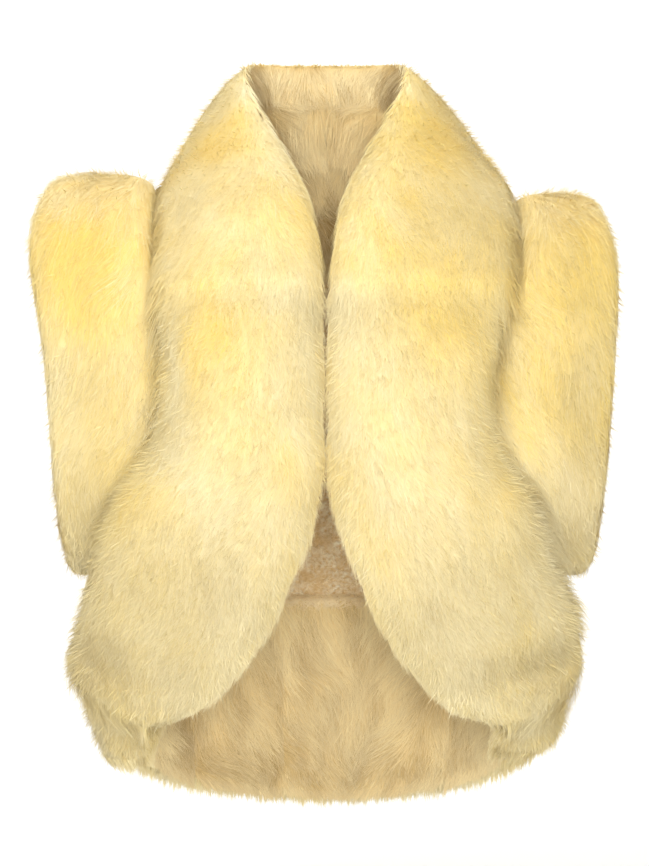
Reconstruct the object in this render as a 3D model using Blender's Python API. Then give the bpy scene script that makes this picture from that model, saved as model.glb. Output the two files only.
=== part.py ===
"""A cropped shearling vest with a wide shawl collar, cutaway fronts and cap sleeves, worn open.

Frame: metres, +Z up, the front faces -Y and +X is the wearer's left. The origin is where the
wearer's shoulders hold the vest up, midway between the two shoulder seams.

Each panel is a hide with a deep pile. Its wall runs from the hide to the tips of the hair, and is
lofted through the sections in the tables below, whose rows are in millimetres.
"""

from math import pi, radians

import bpy
import numpy as np

MM = 0.001
CENTRE_GAP = 0.2 * MM  # from the middle of the vest to the halves that meet there
LAYER_GAP = 0.8 * MM  # between a panel and what is sewn on its inside
EDGE_LIFT = 4.5  # how much more of that gap there is at the layer's edges
EDGE_WALL = 6 * MM  # thickness of a pile panel at its cut edge
EDGE_ROUNDING = 2.6  # exponent that rounds the pile off to that edge, squarer as it grows
LAYER_EDGE_SHARE = 0.2  # squared share of its pile that an inner layer keeps at its edges
SEAM_SHARE = 0.014  # half the gap at the pelt seam, in rows of the band's table
SEAM_DIP = 5 * MM  # depth of the parting where two pelts are joined
SEAM_DIP_SPAN = 0.16  # half-width of that parting, in rows of the band's table
FOLD_DEPTH = {"left": 8 * MM, "right": 4 * MM}  # soft fold across the rounded end of each front
FOLD_INNER = (117 * MM, -440 * MM)  # X and Z where the fold starts
FOLD_OUTER = (228 * MM, -406 * MM)
FOLD_WIDTH = 13 * MM
FOLD_START = 70 * MM  # distance from the middle where the fold begins to sink in
FOLD_RIDGE = 0.5  # height of the ridge below the fold, as a share of its depth
FOLD_RIDGE_STEP = 1.8  # how far below, in fold widths
FACING_PILE = 13 * MM  # long hair of the collar, neck and hem facings
LINING_PILE = 5 * MM  # short curled wool of the back lining
BAND_SWEEP = radians(76)  # how far a band section turns over towards each edge
BACK_SWEEP = radians(88)
SIDE_SWEEP = radians(70)
CAP_SQUARENESS = 3.0  # exponent of the cap's cross-section, where 2 is an ellipse

PALE_FUR = ("pale_yellow_fur", (0.90, 0.78, 0.42, 1.0), 0.85)
TAN_FUR = ("tan_inner_fur", (0.68, 0.50, 0.24, 1.0), 0.9)
CURLED_WOOL = ("curled_wool_lining", (0.60, 0.43, 0.22, 1.0), 0.95)


def table(columns, *rows):
    """Rows of millimetres as named columns of metres."""
    return dict(zip(columns.split(), np.array(rows, float).T * MM))


# Shawl collar and front in one band, from the centre back to the rounded end at the hip.
# The roll is its free edge along the neck and the centre front, and the seam its other edge.
BAND = table(
    "roll_x roll_y roll_z seam_x_right seam_x_left seam_y seam_z rise pile",
    (0.2, 92, 134, 0.2, 0.2, 150, 8, 20, 40),  # centre back
    (34, 91, 134, 52, 52, 147, 9, 20, 40),
    (63, 82, 134, 104, 106, 122, 13, 18, 40),
    (76, 52, 128, 140, 150, 74, 20, 14, 40),  # side of the neck
    (72, 12, 103, 150, 163, 24, 20, 11, 38),  # shoulder seam
    (57, -25, 72, 153, 170, -22, 8, 14, 40),
    (40, -60, 42, 154, 172, -58, -22, 22, 42),
    (22, -92, 8, 153, 171, -84, -52, 29, 44),
    (11, -116, -34, 152, 169, -100, -76, 34, 45),
    (4, -132, -95, 151, 165, -109, -97, 38, 46),  # pelt seam
    (2, -138, -150, 151, 157, -112, -150, 41, 46),
    (2, -142, -205, 154, 151, -115, -205, 42, 46),
    (2, -145, -252, 172, 166, -112, -243, 42, 46),  # fronts part below here
    (9, -146, -284, 198, 192, -104, -278, 42, 46),
    (22, -147, -325, 213, 206, -92, -325, 43, 46),
    (38, -146, -362, 223, 226, -75, -370, 44, 46),
    (58, -143, -400, 234, 235, -55, -410, 42, 44),
    (82, -136, -432, 235, 234, -50, -438, 38, 40),
    (106, -126, -458, 222, 222, -66, -457, 30, 32),
    (128, -115, -472, 196, 196, -88, -471, 20, 22),
    (150, -104, -480, 168, 168, -100, -480, 8, 12),  # rounded end
)
PELT_SEAM_ROW = 9
BAND_END_ROW = 20

# Back, from the neckline to the dipped hem. The edges run down the armholes and side seams.
BACK = table(
    "middle_z edge_z half_width edge_y middle_y pile",
    (6, 16, 147, 36, 147, 30),  # neckline
    (-45, -35, 151, 62, 157, 38),
    (-110, -110, 149, 90, 160, 38),
    (-170, -170, 149, 99, 158, 38),
    (-235, -235, 163, 95, 156, 38),  # foot of the armhole
    (-290, -290, 188, 80, 156, 38),
    (-345, -342, 206, 60, 157, 38),
    (-415, -405, 215, 46, 160, 40),
    (-490, -460, 214, 42, 160, 40),
    (-545, -496, 207, 44, 156, 34),
    (-570, -512, 200, 48, 150, 18),  # hem
)
NECK_FACING_ROWS = (0.06, 1.15)  # rows of that table between which each inner layer lies
LINING_ROWS = (1.17, 6.53)
HEM_FACING_ROWS = (6.55, 9.85)
LAYER_EDGE = 0.88  # outer edge of the inner layers, as a share of the turn to the back's edge
HEM_SEAMS = (-0.52, -0.158, 0.455)  # the same for the pelt seams of the hem facing
STRIP_GAP = 0.006  # half the gap at those seams

# Underarm panel on each side, from the side seam round to its free end under the front.
SIDE = table(
    "back_x back_y back_z front_x front_y front_z rise pile",
    (206, 54, -352, 150, -58, -362, 20, 16),
    (214, 44, -405, 148, -64, -420, 25, 20),
    (215, 39, -455, 150, -72, -462, 35, 28),
    (206, 40, -492, 154, -78, -496, 33, 28),
    (196, 44, -510, 154, -76, -517, 22, 18),
)

# Cap sleeve round each armhole, from the top over the front, the foot and the back.
CAP = table(
    "middle_y middle_z in_x_right in_x_left out_x_right out_x_left half_pile",
    (6, -3, 155, 169, 263, 257, 27),  # top of the shoulder
    (-64, -50, 157, 175, 274, 268, 26),
    (-80, -155, 148, 148, 258, 264, 24),  # front
    (-64, -282, 162, 156, 249, 255, 21),
    (6, -329, 192, 194, 243, 249, 22),  # foot
    (78, -280, 190, 190, 250, 255, 21),
    (95, -155, 153, 154, 259, 265, 25),  # back
    (78, -48, 154, 162, 272, 268, 26),
)
CAP_TOP_LIFT = {"left": -14 * MM, "right": 4 * MM}  # the caps don't sit level
SIDE_HEM_LIFT = {"left": 9 * MM, "right": 0.0}  # nor do the underarm panels

SIDES = {"left": 1.0, "right": -1.0}  # the wearer's, as signs of X


def clear_scene():
    for thing in list(bpy.data.objects):
        bpy.data.objects.remove(thing, do_unlink=True)


def through(values, at, closed=False):
    """A smooth curve through values, one for each row, read at row numbers such as 2.5."""
    values = np.asarray(values)
    row = np.floor(at).astype(int)
    if not closed:
        row = np.clip(row, 0, len(values) - 2)
    share = at - row
    share = share.reshape(share.shape + (1,) * (values.ndim - 1))

    def neighbour(step):
        place = row + step
        if closed:
            return values[place % len(values)]
        return values[np.clip(place, 0, len(values) - 1)]

    before, first, second, after = (neighbour(step) for step in (-1, 0, 1, 2))
    bend = 2 * before - 5 * first + 4 * second - after
    twist = 3 * first - before - 3 * second + after
    return 0.5 * (2 * first + (second - before) * share + bend * share**2 + twist * share**3)


def columns_at(rows, names, at, closed=False):
    """The named columns of a table, side by side, on a smooth curve through its rows."""
    return through(np.stack([rows[name] for name in names], axis=-1), at, closed)


def arc(count, sweep):
    """Shares along and above its chord of an arc that turns by sweep to each side, and its turn."""
    turn = np.linspace(-sweep, sweep, count)
    along = 0.5 + 0.5 * np.sin(turn) / np.sin(sweep)
    above = (np.cos(turn) - np.cos(sweep)) / (1 - np.cos(sweep))
    return along, above, turn / sweep


def unit(vectors):
    return vectors / np.linalg.norm(vectors, axis=-1, keepdims=True)


def normals_of(grid, sign):
    """Outward directions of a grid of points, from the way it runs along and across."""
    return sign * unit(np.cross(np.gradient(grid, axis=0), np.gradient(grid, axis=1)))


def pile_depth(pile, turn):
    """Depth of the pile over a section, full in the middle and rounded off to the cut edges."""
    rounded = np.sqrt(1 - np.abs(turn) ** EDGE_ROUNDING)
    return EDGE_WALL + np.clip(pile[:, None] - EDGE_WALL, 0, None) * rounded[None, :]


def spread(first, last, count):
    """Row numbers from first to last, closer together near both ends."""
    return first + (last - first) * (0.5 - 0.5 * np.cos(np.linspace(0, pi, count)))


def material(name, colour, roughness):
    made = bpy.data.materials.get(name) or bpy.data.materials.new(name)
    made.use_nodes = True
    shader = made.node_tree.nodes["Principled BSDF"]
    shader.inputs["Base Color"].default_value = colour
    shader.inputs["Roughness"].default_value = roughness
    shader.inputs["Metallic"].default_value = 0.0
    return made


def add_piece(name, points, faces, finish):
    mesh = bpy.data.meshes.new(name)
    mesh.from_pydata(points.tolist(), [], faces)
    mesh.update()
    mesh.materials.append(material(*finish))
    mesh.shade_smooth()
    mesh.set_sharp_from_angle(angle=radians(50))
    piece = bpy.data.objects.new(name, mesh)
    vest.objects.link(piece)
    return piece


def loft(name, rings, finish, closed=False):
    """Joins rings of points into one solid, as a closed loop of rings or with a wall at each end."""
    count, across = rings.shape[:2]
    faces = []
    for i in range(count if closed else count - 1):
        for j in range(across):
            near, far = i * across, (i + 1) % count * across
            after = (j + 1) % across
            faces.append((near + j, near + after, far + after, far + j))
    if not closed:
        half = across // 2
        for ring in (0, (count - 1) * across):
            for j in range(half - 1):
                quad = (ring + j, ring + j + 1, ring + across - 2 - j, ring + across - 1 - j)
                faces.append(quad if ring else quad[::-1])
    points = rings.reshape(-1, 3)
    if volume(points, faces) < 0:
        faces = [face[:1] + face[:0:-1] for face in faces]
    return add_piece(name, points, faces, finish)


def volume(points, faces):
    a, b, c, d = (points[[face[k] for face in faces]] for k in range(4))
    return (np.cross(b - a, c - a) * a + np.cross(c - a, d - a) * a).sum() / 6


def wall(name, outer, inner, finish):
    """One closed wall between two grids of points: the tips of the pile and the hide."""
    return loft(name, np.concatenate([outer, inner[:, ::-1]], axis=1), finish)


def fold(points, side):
    """Depth of the soft fold across the end of a front: a trough with a low ridge below it."""
    (x0, z0), (x1, z1) = FOLD_INNER, FOLD_OUTER
    off = points[..., 2] - z0 - (z1 - z0) * (np.abs(points[..., 0]) - x0) / (x1 - x0)
    trough = np.exp(-((off / FOLD_WIDTH) ** 2))
    ridge = FOLD_RIDGE * np.exp(-((off / FOLD_WIDTH + FOLD_RIDGE_STEP) ** 2))
    reach = np.clip(np.abs(points[..., 0]) / FOLD_START - 1, 0, 1)
    return FOLD_DEPTH[side] * reach * (trough - ridge)


def arched(start, end, rise, count, sweep, sign):
    """Rows of points that arch outward from start to end, their normals, heights and turns."""
    chord = end - start
    outward = sign * unit(np.cross(np.gradient(start + end, axis=0), chord))
    along, above, turn = arc(count, sweep)
    heights = (rise[:, None] * above[None, :])[..., None]
    points = start[:, None] + chord[:, None] * along[None, :, None] + outward[:, None] * heights
    return points, normals_of(points, sign), above, turn


def band_grid(side, collar_rows, front_rows=25, count=13):
    """Outer points, normals and hide points of the band, with a row at each side of its pelt seam."""
    sign = SIDES[side]
    across = np.array([sign, 1.0, 1.0])
    collar_at = spread(0, PELT_SEAM_ROW - SEAM_SHARE, collar_rows)
    front_at = spread(PELT_SEAM_ROW + SEAM_SHARE, BAND_END_ROW, front_rows)
    at = np.concatenate([collar_at, front_at])
    roll = columns_at(BAND, ("roll_x", "roll_y", "roll_z"), at) * across
    seam = columns_at(BAND, ("seam_x_" + side, "seam_y", "seam_z"), at) * across
    rise = through(BAND["rise"], at)
    outer, normals, above, turn = arched(roll, seam, rise, count, BAND_SWEEP, sign)
    hide = outer - normals * pile_depth(through(BAND["pile"], at), turn)[..., None]
    parting = np.exp(-(((at - PELT_SEAM_ROW) / SEAM_DIP_SPAN) ** 2))
    hollow = (SEAM_DIP * parting[:, None] + fold(outer, side)) * above[None, :]
    outer = outer - normals * hollow[..., None]
    for points in (outer, hide):
        points[..., 0] = sign * np.maximum(sign * points[..., 0], CENTRE_GAP)
    return outer, normals, hide


def make_band(side, collar_rows=21):
    """The collar and the front, which are one band cut across at the pelt seam."""
    outer, normals, hide = band_grid(side, collar_rows)
    wall("collar_" + side, outer[:collar_rows], hide[:collar_rows], PALE_FUR)
    wall("front_" + side, outer[collar_rows:], hide[collar_rows:], PALE_FUR)
    return normals[:collar_rows], hide[:collar_rows]


def back_grid(rows=27, count=25):
    """Outer points, normals and hide points of the back."""
    at = np.linspace(0, len(BACK["pile"]) - 1, rows)
    half, edge_y, middle_y = columns_at(BACK, ("half_width", "edge_y", "middle_y"), at).T
    middle_z, edge_z = columns_at(BACK, ("middle_z", "edge_z"), at).T
    along, above, turn = arc(count, BACK_SWEEP)
    share = 2 * along - 1
    outer = np.stack(
        [
            half[:, None] * share[None, :],
            edge_y[:, None] + (middle_y - edge_y)[:, None] * above[None, :],
            edge_z[:, None] + (middle_z - edge_z)[:, None] * above[None, :],
        ],
        axis=-1,
    )
    normals = normals_of(outer, -1.0)
    hide = outer - normals * pile_depth(through(BACK["pile"], at), turn)[..., None]
    return outer, normals, hide


def inlay(grid, rows, columns):
    """Points of a grid at row and column numbers that may fall between its own."""
    i = np.clip(np.floor(rows).astype(int), 0, grid.shape[0] - 2)
    j = np.clip(np.floor(columns).astype(int), 0, grid.shape[1] - 2)
    down = (rows - i)[:, None, None]
    over = (columns - j)[None, :, None]
    upper = grid[i][:, j] * (1 - over) + grid[i][:, j + 1] * over
    lower = grid[i + 1][:, j] * (1 - over) + grid[i + 1][:, j + 1] * over
    return upper * (1 - down) + lower * down


def sewn_inside(name, panel, rows, columns, pile, finish):
    """A layer on the inside of a panel, made from the panel's hide points, moved in."""
    normals, hide = (inlay(grid, rows, columns) for grid in panel)
    across = np.linspace(-1, 1, len(columns))
    along = np.linspace(-1, 1, len(rows))
    rounded = np.sqrt(1 - (1 - LAYER_EDGE_SHARE) * np.abs(across) ** 4)
    ends = np.sqrt(1 - (1 - LAYER_EDGE_SHARE) * np.abs(along) ** 6)
    gap = LAYER_GAP * (1 + EDGE_LIFT * np.abs(across) ** 8)
    base = hide - normals * gap[None, :, None]
    depth = pile * rounded[None, :] * ends[:, None]
    inner = base - normals * depth[..., None]
    wall(name, inner, base, finish)


def make_back():
    outer, normals, hide = back_grid()
    wall("back", outer, hide, PALE_FUR)
    return normals, hide


def make_cap(side, rings=32, count=16):
    """A ring round the armhole whose cross-section is a rounded bar from in_x to out_x."""
    sign = SIDES[side]
    at = np.arange(rings) * len(CAP["half_pile"]) / rings
    middle_y, middle_z, half_pile = columns_at(
        CAP, ("middle_y", "middle_z", "half_pile"), at, closed=True
    ).T
    in_x, out_x = columns_at(CAP, ("in_x_" + side, "out_x_" + side), at, closed=True).T
    lift = np.clip(1 + middle_z / np.ptp(CAP["middle_z"]), 0, 1) ** 2
    middle_z = middle_z + CAP_TOP_LIFT[side] * lift
    line = np.stack([middle_y, middle_z], axis=-1)
    run = unit(np.roll(line, -1, axis=0) - np.roll(line, 1, axis=0))
    away = np.stack([run[:, 1], -run[:, 0]], axis=-1)
    away *= np.sign((away * (line - line.mean(axis=0))).sum(axis=-1, keepdims=True))
    turn = 2 * pi * np.arange(count) / count
    flat = np.sign(np.cos(turn)) * np.abs(np.cos(turn)) ** (2 / CAP_SQUARENESS)
    thick = np.sign(np.sin(turn)) * np.abs(np.sin(turn)) ** (2 / CAP_SQUARENESS)
    x = sign * ((in_x + out_x)[:, None] + (out_x - in_x)[:, None] * flat[None, :]) / 2
    reach = half_pile[:, None] * thick[None, :]
    y = line[:, :1] + away[:, :1] * reach
    z = line[:, 1:] + away[:, 1:] * reach
    loft("cap_" + side, np.stack([x, y, z], axis=-1), PALE_FUR, closed=True)


def make_side(side, rows=11, count=11):
    sign = SIDES[side]
    across = np.array([sign, 1.0, 1.0])
    at = np.linspace(0, len(SIDE["pile"]) - 1, rows)
    start = columns_at(SIDE, ("back_x", "back_y", "back_z"), at) * across
    end = columns_at(SIDE, ("front_x", "front_y", "front_z"), at) * across
    lift = SIDE_HEM_LIFT[side] * (at / at[-1]) ** 2
    start[:, 2] += lift
    end[:, 2] += lift
    rise = through(SIDE["rise"], at)
    outer, normals, _, turn = arched(start, end, rise, count, SIDE_SWEEP, -sign)
    depth = pile_depth(through(SIDE["pile"], at), turn)
    wall("side_" + side, outer, outer - normals * depth[..., None], PALE_FUR)


def make_facings(back, collars):
    """The inner layers that show through the neck and below the fronts."""
    rows, columns = back[0].shape[:2]

    def row_numbers(limits, count):
        return np.linspace(*limits, count) * (rows - 1) / (len(BACK["pile"]) - 1)

    def column_numbers(first, last, count):
        return (np.linspace(first, last, count) + 1) / 2 * (columns - 1)

    whole = column_numbers(-LAYER_EDGE, LAYER_EDGE, 23)
    sewn_inside("neck_facing", back, row_numbers(NECK_FACING_ROWS, 6), whole, FACING_PILE, TAN_FUR)
    sewn_inside("back_lining", back, row_numbers(LINING_ROWS, 15), whole, LINING_PILE, CURLED_WOOL)
    edges = (-LAYER_EDGE, *HEM_SEAMS, LAYER_EDGE)
    for i, (first, last) in enumerate(zip(edges, edges[1:])):
        strip = column_numbers(first + STRIP_GAP, last - STRIP_GAP, 8)
        name = f"hem_facing_{i + 1}"
        sewn_inside(name, back, row_numbers(HEM_FACING_ROWS, 10), strip, FACING_PILE, TAN_FUR)
    round_neck = np.r_[0.1, 1:12]  # grid rows from the centre back to the shoulder
    down_collar = np.r_[0.6, 1:12, 11.4]  # grid columns from the roll to the seam
    for side, collar in collars.items():
        name = "collar_facing_" + side
        sewn_inside(name, collar, round_neck, down_collar, FACING_PILE, TAN_FUR)


clear_scene()
vest = bpy.data.collections.new("shearling_vest")
bpy.context.scene.collection.children.link(vest)
collars = {side: make_band(side) for side in SIDES}
for side in SIDES:
    make_cap(side)
    make_side(side)
make_facings(make_back(), collars)
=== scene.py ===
# Looks of the shearling vest: pelts, combed hair, facings and lining, with a plain studio round them.
# Metres, +Z up, the front faces -Y and +X is the wearer's left, as in the CAD frame.
from math import pi, radians

import bpy
import numpy as np
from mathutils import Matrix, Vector


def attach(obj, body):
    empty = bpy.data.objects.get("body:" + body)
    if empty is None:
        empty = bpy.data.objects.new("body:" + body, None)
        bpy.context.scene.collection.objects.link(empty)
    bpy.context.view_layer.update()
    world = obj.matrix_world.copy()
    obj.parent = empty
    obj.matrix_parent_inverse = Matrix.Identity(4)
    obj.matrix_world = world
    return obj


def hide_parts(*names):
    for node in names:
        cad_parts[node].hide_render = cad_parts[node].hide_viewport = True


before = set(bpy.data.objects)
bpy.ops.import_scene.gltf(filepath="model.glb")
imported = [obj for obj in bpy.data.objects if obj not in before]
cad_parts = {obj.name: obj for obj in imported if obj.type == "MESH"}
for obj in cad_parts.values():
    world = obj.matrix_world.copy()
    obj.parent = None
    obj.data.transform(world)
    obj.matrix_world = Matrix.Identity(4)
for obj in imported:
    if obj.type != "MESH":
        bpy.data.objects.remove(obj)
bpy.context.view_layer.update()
print("vest: frame loaded with", len(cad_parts), "nodes")

mm = 0.001
sides = {"left": 1.0, "right": -1.0}  # the wearer's, as signs of X
down = np.array([0.0, 0.0, -1.0])


# Tables and curves

def table(columns, *rows):  # rows of millimetres as named columns of metres
    return dict(zip(columns.split(), np.array(rows, float).T * mm))


# Shawl collar and front in one band, from the centre back to the rounded end at the hip.
# The roll is its free edge along the neck and the centre front, and the seam its other edge.
band = table(
    "rollX rollY rollZ seamXright seamXleft seamY seamZ rise pile",
    (0.2, 92, 134, 0.2, 0.2, 150, 8, 20, 40),  # centre back
    (34, 91, 134, 52, 52, 147, 9, 20, 40),
    (63, 82, 134, 104, 106, 122, 13, 18, 40),
    (76, 52, 128, 140, 150, 74, 20, 14, 40),  # side of the neck
    (72, 12, 103, 150, 163, 24, 20, 11, 38),  # shoulder seam
    (57, -25, 72, 153, 170, -22, 8, 14, 40),
    (40, -60, 42, 154, 172, -58, -22, 22, 42),
    (22, -92, 8, 153, 171, -84, -52, 29, 44),
    (11, -116, -34, 152, 169, -100, -76, 34, 45),
    (4, -132, -95, 151, 165, -109, -97, 38, 46),  # pelt seam
    (2, -138, -150, 151, 157, -112, -150, 41, 46),
    (2, -142, -205, 154, 151, -115, -205, 42, 46),
    (2, -145, -252, 172, 166, -112, -243, 42, 46),  # fronts part below here
    (9, -146, -284, 198, 192, -104, -278, 42, 46),
    (22, -147, -325, 213, 206, -92, -325, 43, 46),
    (38, -146, -362, 223, 226, -75, -370, 44, 46),
    (58, -143, -400, 234, 235, -55, -410, 42, 44),
    (82, -136, -432, 235, 234, -50, -438, 38, 40),
    (106, -126, -458, 222, 222, -66, -457, 30, 32),
    (128, -115, -472, 196, 196, -88, -471, 20, 22),
    (150, -104, -480, 168, 168, -100, -480, 8, 12),  # rounded end
)
back = table(
    "middleZ edgeZ halfWidth edgeY middleY pile",
    (6, 16, 147, 36, 147, 30),  # neckline
    (-45, -35, 151, 62, 157, 38),
    (-110, -110, 149, 90, 160, 38),
    (-170, -170, 149, 99, 158, 38),
    (-235, -235, 163, 95, 156, 38),  # foot of the armhole
    (-290, -290, 188, 80, 156, 38),
    (-345, -342, 206, 60, 157, 38),
    (-415, -405, 215, 46, 160, 40),
    (-490, -460, 214, 42, 160, 40),
    (-545, -496, 207, 44, 156, 34),
    (-570, -512, 200, 48, 150, 18),  # hem
)
underarm = table(
    "backX backY backZ frontX frontY frontZ rise pile",
    (206, 54, -352, 150, -58, -362, 20, 16),
    (214, 44, -405, 148, -64, -420, 25, 20),
    (215, 39, -455, 150, -72, -462, 35, 28),
    (206, 40, -492, 154, -78, -496, 33, 28),
    (196, 44, -510, 154, -76, -517, 22, 18),
)
cap = table(
    "middleY middleZ inXright inXleft outXright outXleft halfPile",
    (6, -3, 155, 169, 263, 257, 27),  # top of the shoulder
    (-64, -50, 157, 175, 274, 268, 26),
    (-80, -155, 148, 148, 258, 264, 24),  # front
    (-64, -282, 162, 156, 249, 255, 21),
    (6, -329, 192, 194, 243, 249, 22),  # foot
    (78, -280, 190, 190, 250, 255, 21),
    (95, -155, 153, 154, 259, 265, 25),  # back
    (78, -48, 154, 162, 272, 268, 26),
)
cut = {
    "centreGap": 0.2 * mm,  # from the middle to the halves that meet there
    "layerGap": 0.8 * mm,  # between a panel and what is sewn on its inside
    "edgeLift": 4.5,  # how much more of that gap there is at a layer's edges
    "edgeWall": 6 * mm,  # pile at a cut edge
    "edgeRounding": 2.6,
    "layerEdgeShare": 0.2,
    "acrossRounding": 4,  # powers that round a layer's pile and lift its edges
    "alongRounding": 6,
    "edgeLiftPower": 8,
    "bandSweep": radians(76),  # how far a section turns over towards each edge
    "backSweep": radians(88),
    "sideSweep": radians(70),
    "peltSeam": 9,  # row of the band's table
    "bandEnd": 20,
    "seamShare": 0.014,
    "seamDip": 3 * mm,
    "seamDipSpan": 0.16,
    "foldDepth": {"left": 8 * mm, "right": 4 * mm},
    "foldInner": (117 * mm, -440 * mm),
    "foldOuter": (228 * mm, -406 * mm),
    "foldWidth": 13 * mm,
    "foldStart": 70 * mm,
    "foldRidge": 0.5,
    "foldRidgeStep": 1.8,
    "capSquareness": 3.0,
    "capPile": 24 * mm,
    "capTopLift": {"left": -14 * mm, "right": 4 * mm},
    "sideHemLift": {"left": 9 * mm, "right": 0.0},
    "sideWaver": 5 * mm,  # of the underarm panel's free end
    "sideWaverSize": 45 * mm,
    "layerEdge": 0.88,  # outer edge of the inner layers, as a share of the turn to the back's edge
    "hemSeams": (-0.52, -0.158, 0.455),
    "stripGap": 0.006,
}


# a Catmull-Rom curve through one value a row, read at row numbers such as 2.5
def through(values, at, closed=False):
    values = np.asarray(values)
    row = np.floor(at).astype(int)
    if not closed:
        row = np.clip(row, 0, len(values) - 2)
    share = at - row
    share = share.reshape(share.shape + (1,) * (values.ndim - 1))

    def neighbour(step):
        place = row + step
        return values[place % len(values) if closed else np.clip(place, 0, len(values) - 1)]

    before, first, second, after = (neighbour(step) for step in (-1, 0, 1, 2))
    bend = 2 * before - 5 * first + 4 * second - after
    twist = 3 * first - before - 3 * second + after
    return 0.5 * (2 * first + (second - before) * share + bend * share**2 + twist * share**3)


# several columns of a table as vectors, read at row numbers
def columnsAt(rows, names, at, closed=False):
    return through(np.stack([rows[name] for name in names], axis=-1), at, closed)


def lengthOf(vectors):
    return np.linalg.norm(vectors, axis=-1)


def unit(vectors):
    return vectors / np.maximum(lengthOf(vectors)[..., None], 1e-12)


def dot(a, b):
    return (a * b).sum(axis=-1, keepdims=True)


# how far a value has come from start over span, kept from 0 to 1
def ramp(value, start, span):
    return np.clip((value - start) / span, 0, 1)


# an arc that turns by sweep to each side: shares along and above its chord, and its turn from -1 to 1
def arc(count, sweep):
    turn = np.linspace(-sweep, sweep, count)
    along = 0.5 + 0.5 * np.sin(turn) / np.sin(sweep)
    above = (np.cos(turn) - np.cos(sweep)) / (1 - np.cos(sweep))
    return along, above, turn / sweep


# the way from one row or column of a grid to the next: half the way between its neighbours
def stepOf(grid, axis, closed=False):
    if closed:
        return (np.roll(grid, -1, axis=axis) - np.roll(grid, 1, axis=axis)) / 2
    return np.gradient(grid, axis=axis)


# directions off a grid: the cross product of the ways it runs along and across
def normalsOf(grid, sign=1.0, closed=False):
    return sign * unit(np.cross(stepOf(grid, 0, closed), stepOf(grid, 1, closed)))


# normals turned round if most of them point away from the given ways
def turnedTo(normals, ways):
    return normals * np.sign((normals * ways).sum())


# depth of the pile over a section: full in the middle, rounded off to the cut edges
def pileDepth(pile, turn):
    rounded = np.sqrt(1 - np.abs(turn) ** cut["edgeRounding"])
    return cut["edgeWall"] + np.clip(pile[:, None] - cut["edgeWall"], 0, None) * rounded[None, :]


# rows that arch outward from start to end: the chord, plus the rise times the arc's height
def arched(start, end, rise, count, sweep, sign):
    chord = end - start
    outward = sign * unit(np.cross(np.gradient(start + end, axis=0), chord))
    along, above, turn = arc(count, sweep)
    heights = (rise[:, None] * above[None, :])[..., None]
    points = start[:, None] + chord[:, None] * along[None, :, None] + outward[:, None] * heights
    return points, normalsOf(points, sign), above, turn


# smooth noise from about -1 to 1: a sum of sine waves in seeded directions, about size apart
def softNoise(points, size, seed, waves=12):
    pick = np.random.default_rng(seed)
    ways = unit(pick.normal(size=(waves, 3))) * pick.uniform(0.6, 1.5, (waves, 1)) * 2 * pi / size
    phases = pick.uniform(0, 2 * pi, waves)
    return np.sin(points @ ways.T + phases).sum(axis=-1) / np.sqrt(waves)


# even draws from 0 to 1, one for each whole-numbered cell: the broken part of a large sine
def cellDraw(cells, salt):
    return np.modf(np.abs(np.sin(cells @ np.array([127.1, 311.7, 74.7]) + salt)) * 43758.5453)[0]


# values of a grid at broken row and column numbers: a blend of the nearest four.
# Past an open edge it runs straight on, and a closed grid starts again.
def readGrid(grid, rows, columns, closed=False):
    count, across = grid.shape[:2]
    i = np.floor(rows).astype(int)
    j = np.floor(columns).astype(int)
    if not closed:
        i = np.clip(i, 0, count - 2)
        j = np.clip(j, 0, across - 2)
    shape = rows.shape + (1,) * (grid.ndim - 2)
    down = (rows - i).reshape(shape)
    over = (columns - j).reshape(shape)
    i, j, below, beside = i % count, j % across, (i + 1) % count, (j + 1) % across
    upper = grid[i, j] * (1 - over) + grid[i, beside] * over
    lower = grid[below, j] * (1 - over) + grid[below, beside] * over
    return upper * (1 - down) + lower * down


# Surfaces of the panels: the tips of the pile, outward directions, pile depth and hide

# depth of the soft fold across the end of a front: a trough with a low ridge below it
def foldDepth(points, side):
    (x0, z0), (x1, z1) = cut["foldInner"], cut["foldOuter"]
    off = points[..., 2] - z0 - (z1 - z0) * (np.abs(points[..., 0]) - x0) / (x1 - x0)
    trough = np.exp(-((off / cut["foldWidth"]) ** 2))
    ridge = cut["foldRidge"] * np.exp(-((off / cut["foldWidth"] + cut["foldRidgeStep"]) ** 2))
    reach = np.clip(np.abs(points[..., 0]) / cut["foldStart"] - 1, 0, 1)
    return cut["foldDepth"][side] * reach * (trough - ridge)


# what the pelt and hair of a panel need of its form: the hide lies the pile's depth below the tips
def panelSkin(tips, normals, depth, turn):
    hide = tips - normals * depth[..., None]
    return {"tips": tips, "normals": normals, "depth": depth, "turn": turn, "hide": hide}


# one stretch of the band: sections arch from the roll to the seam, with a dip at the pelt seam and a fold
def bandSkin(side, first, last, rows, count):
    sign = sides[side]
    mirror = np.array([sign, 1.0, 1.0])
    at = np.linspace(first, last, rows)
    roll = columnsAt(band, ("rollX", "rollY", "rollZ"), at) * mirror
    seam = columnsAt(band, ("seamX" + side, "seamY", "seamZ"), at) * mirror
    tips, normals, above, turn = arched(roll, seam, through(band["rise"], at), count, cut["bandSweep"], sign)
    skin = panelSkin(tips, normals, pileDepth(through(band["pile"], at), turn), turn)
    parting = np.exp(-(((at - cut["peltSeam"]) / cut["seamDipSpan"]) ** 2))
    hollow = (cut["seamDip"] * parting[:, None] + foldDepth(tips, side)) * above[None, :]
    skin["tips"] = tips - normals * hollow[..., None]
    for points in (skin["tips"], skin["hide"]):
        points[..., 0] = sign * np.maximum(sign * points[..., 0], cut["centreGap"])
    skin["at"] = at
    return skin


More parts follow.
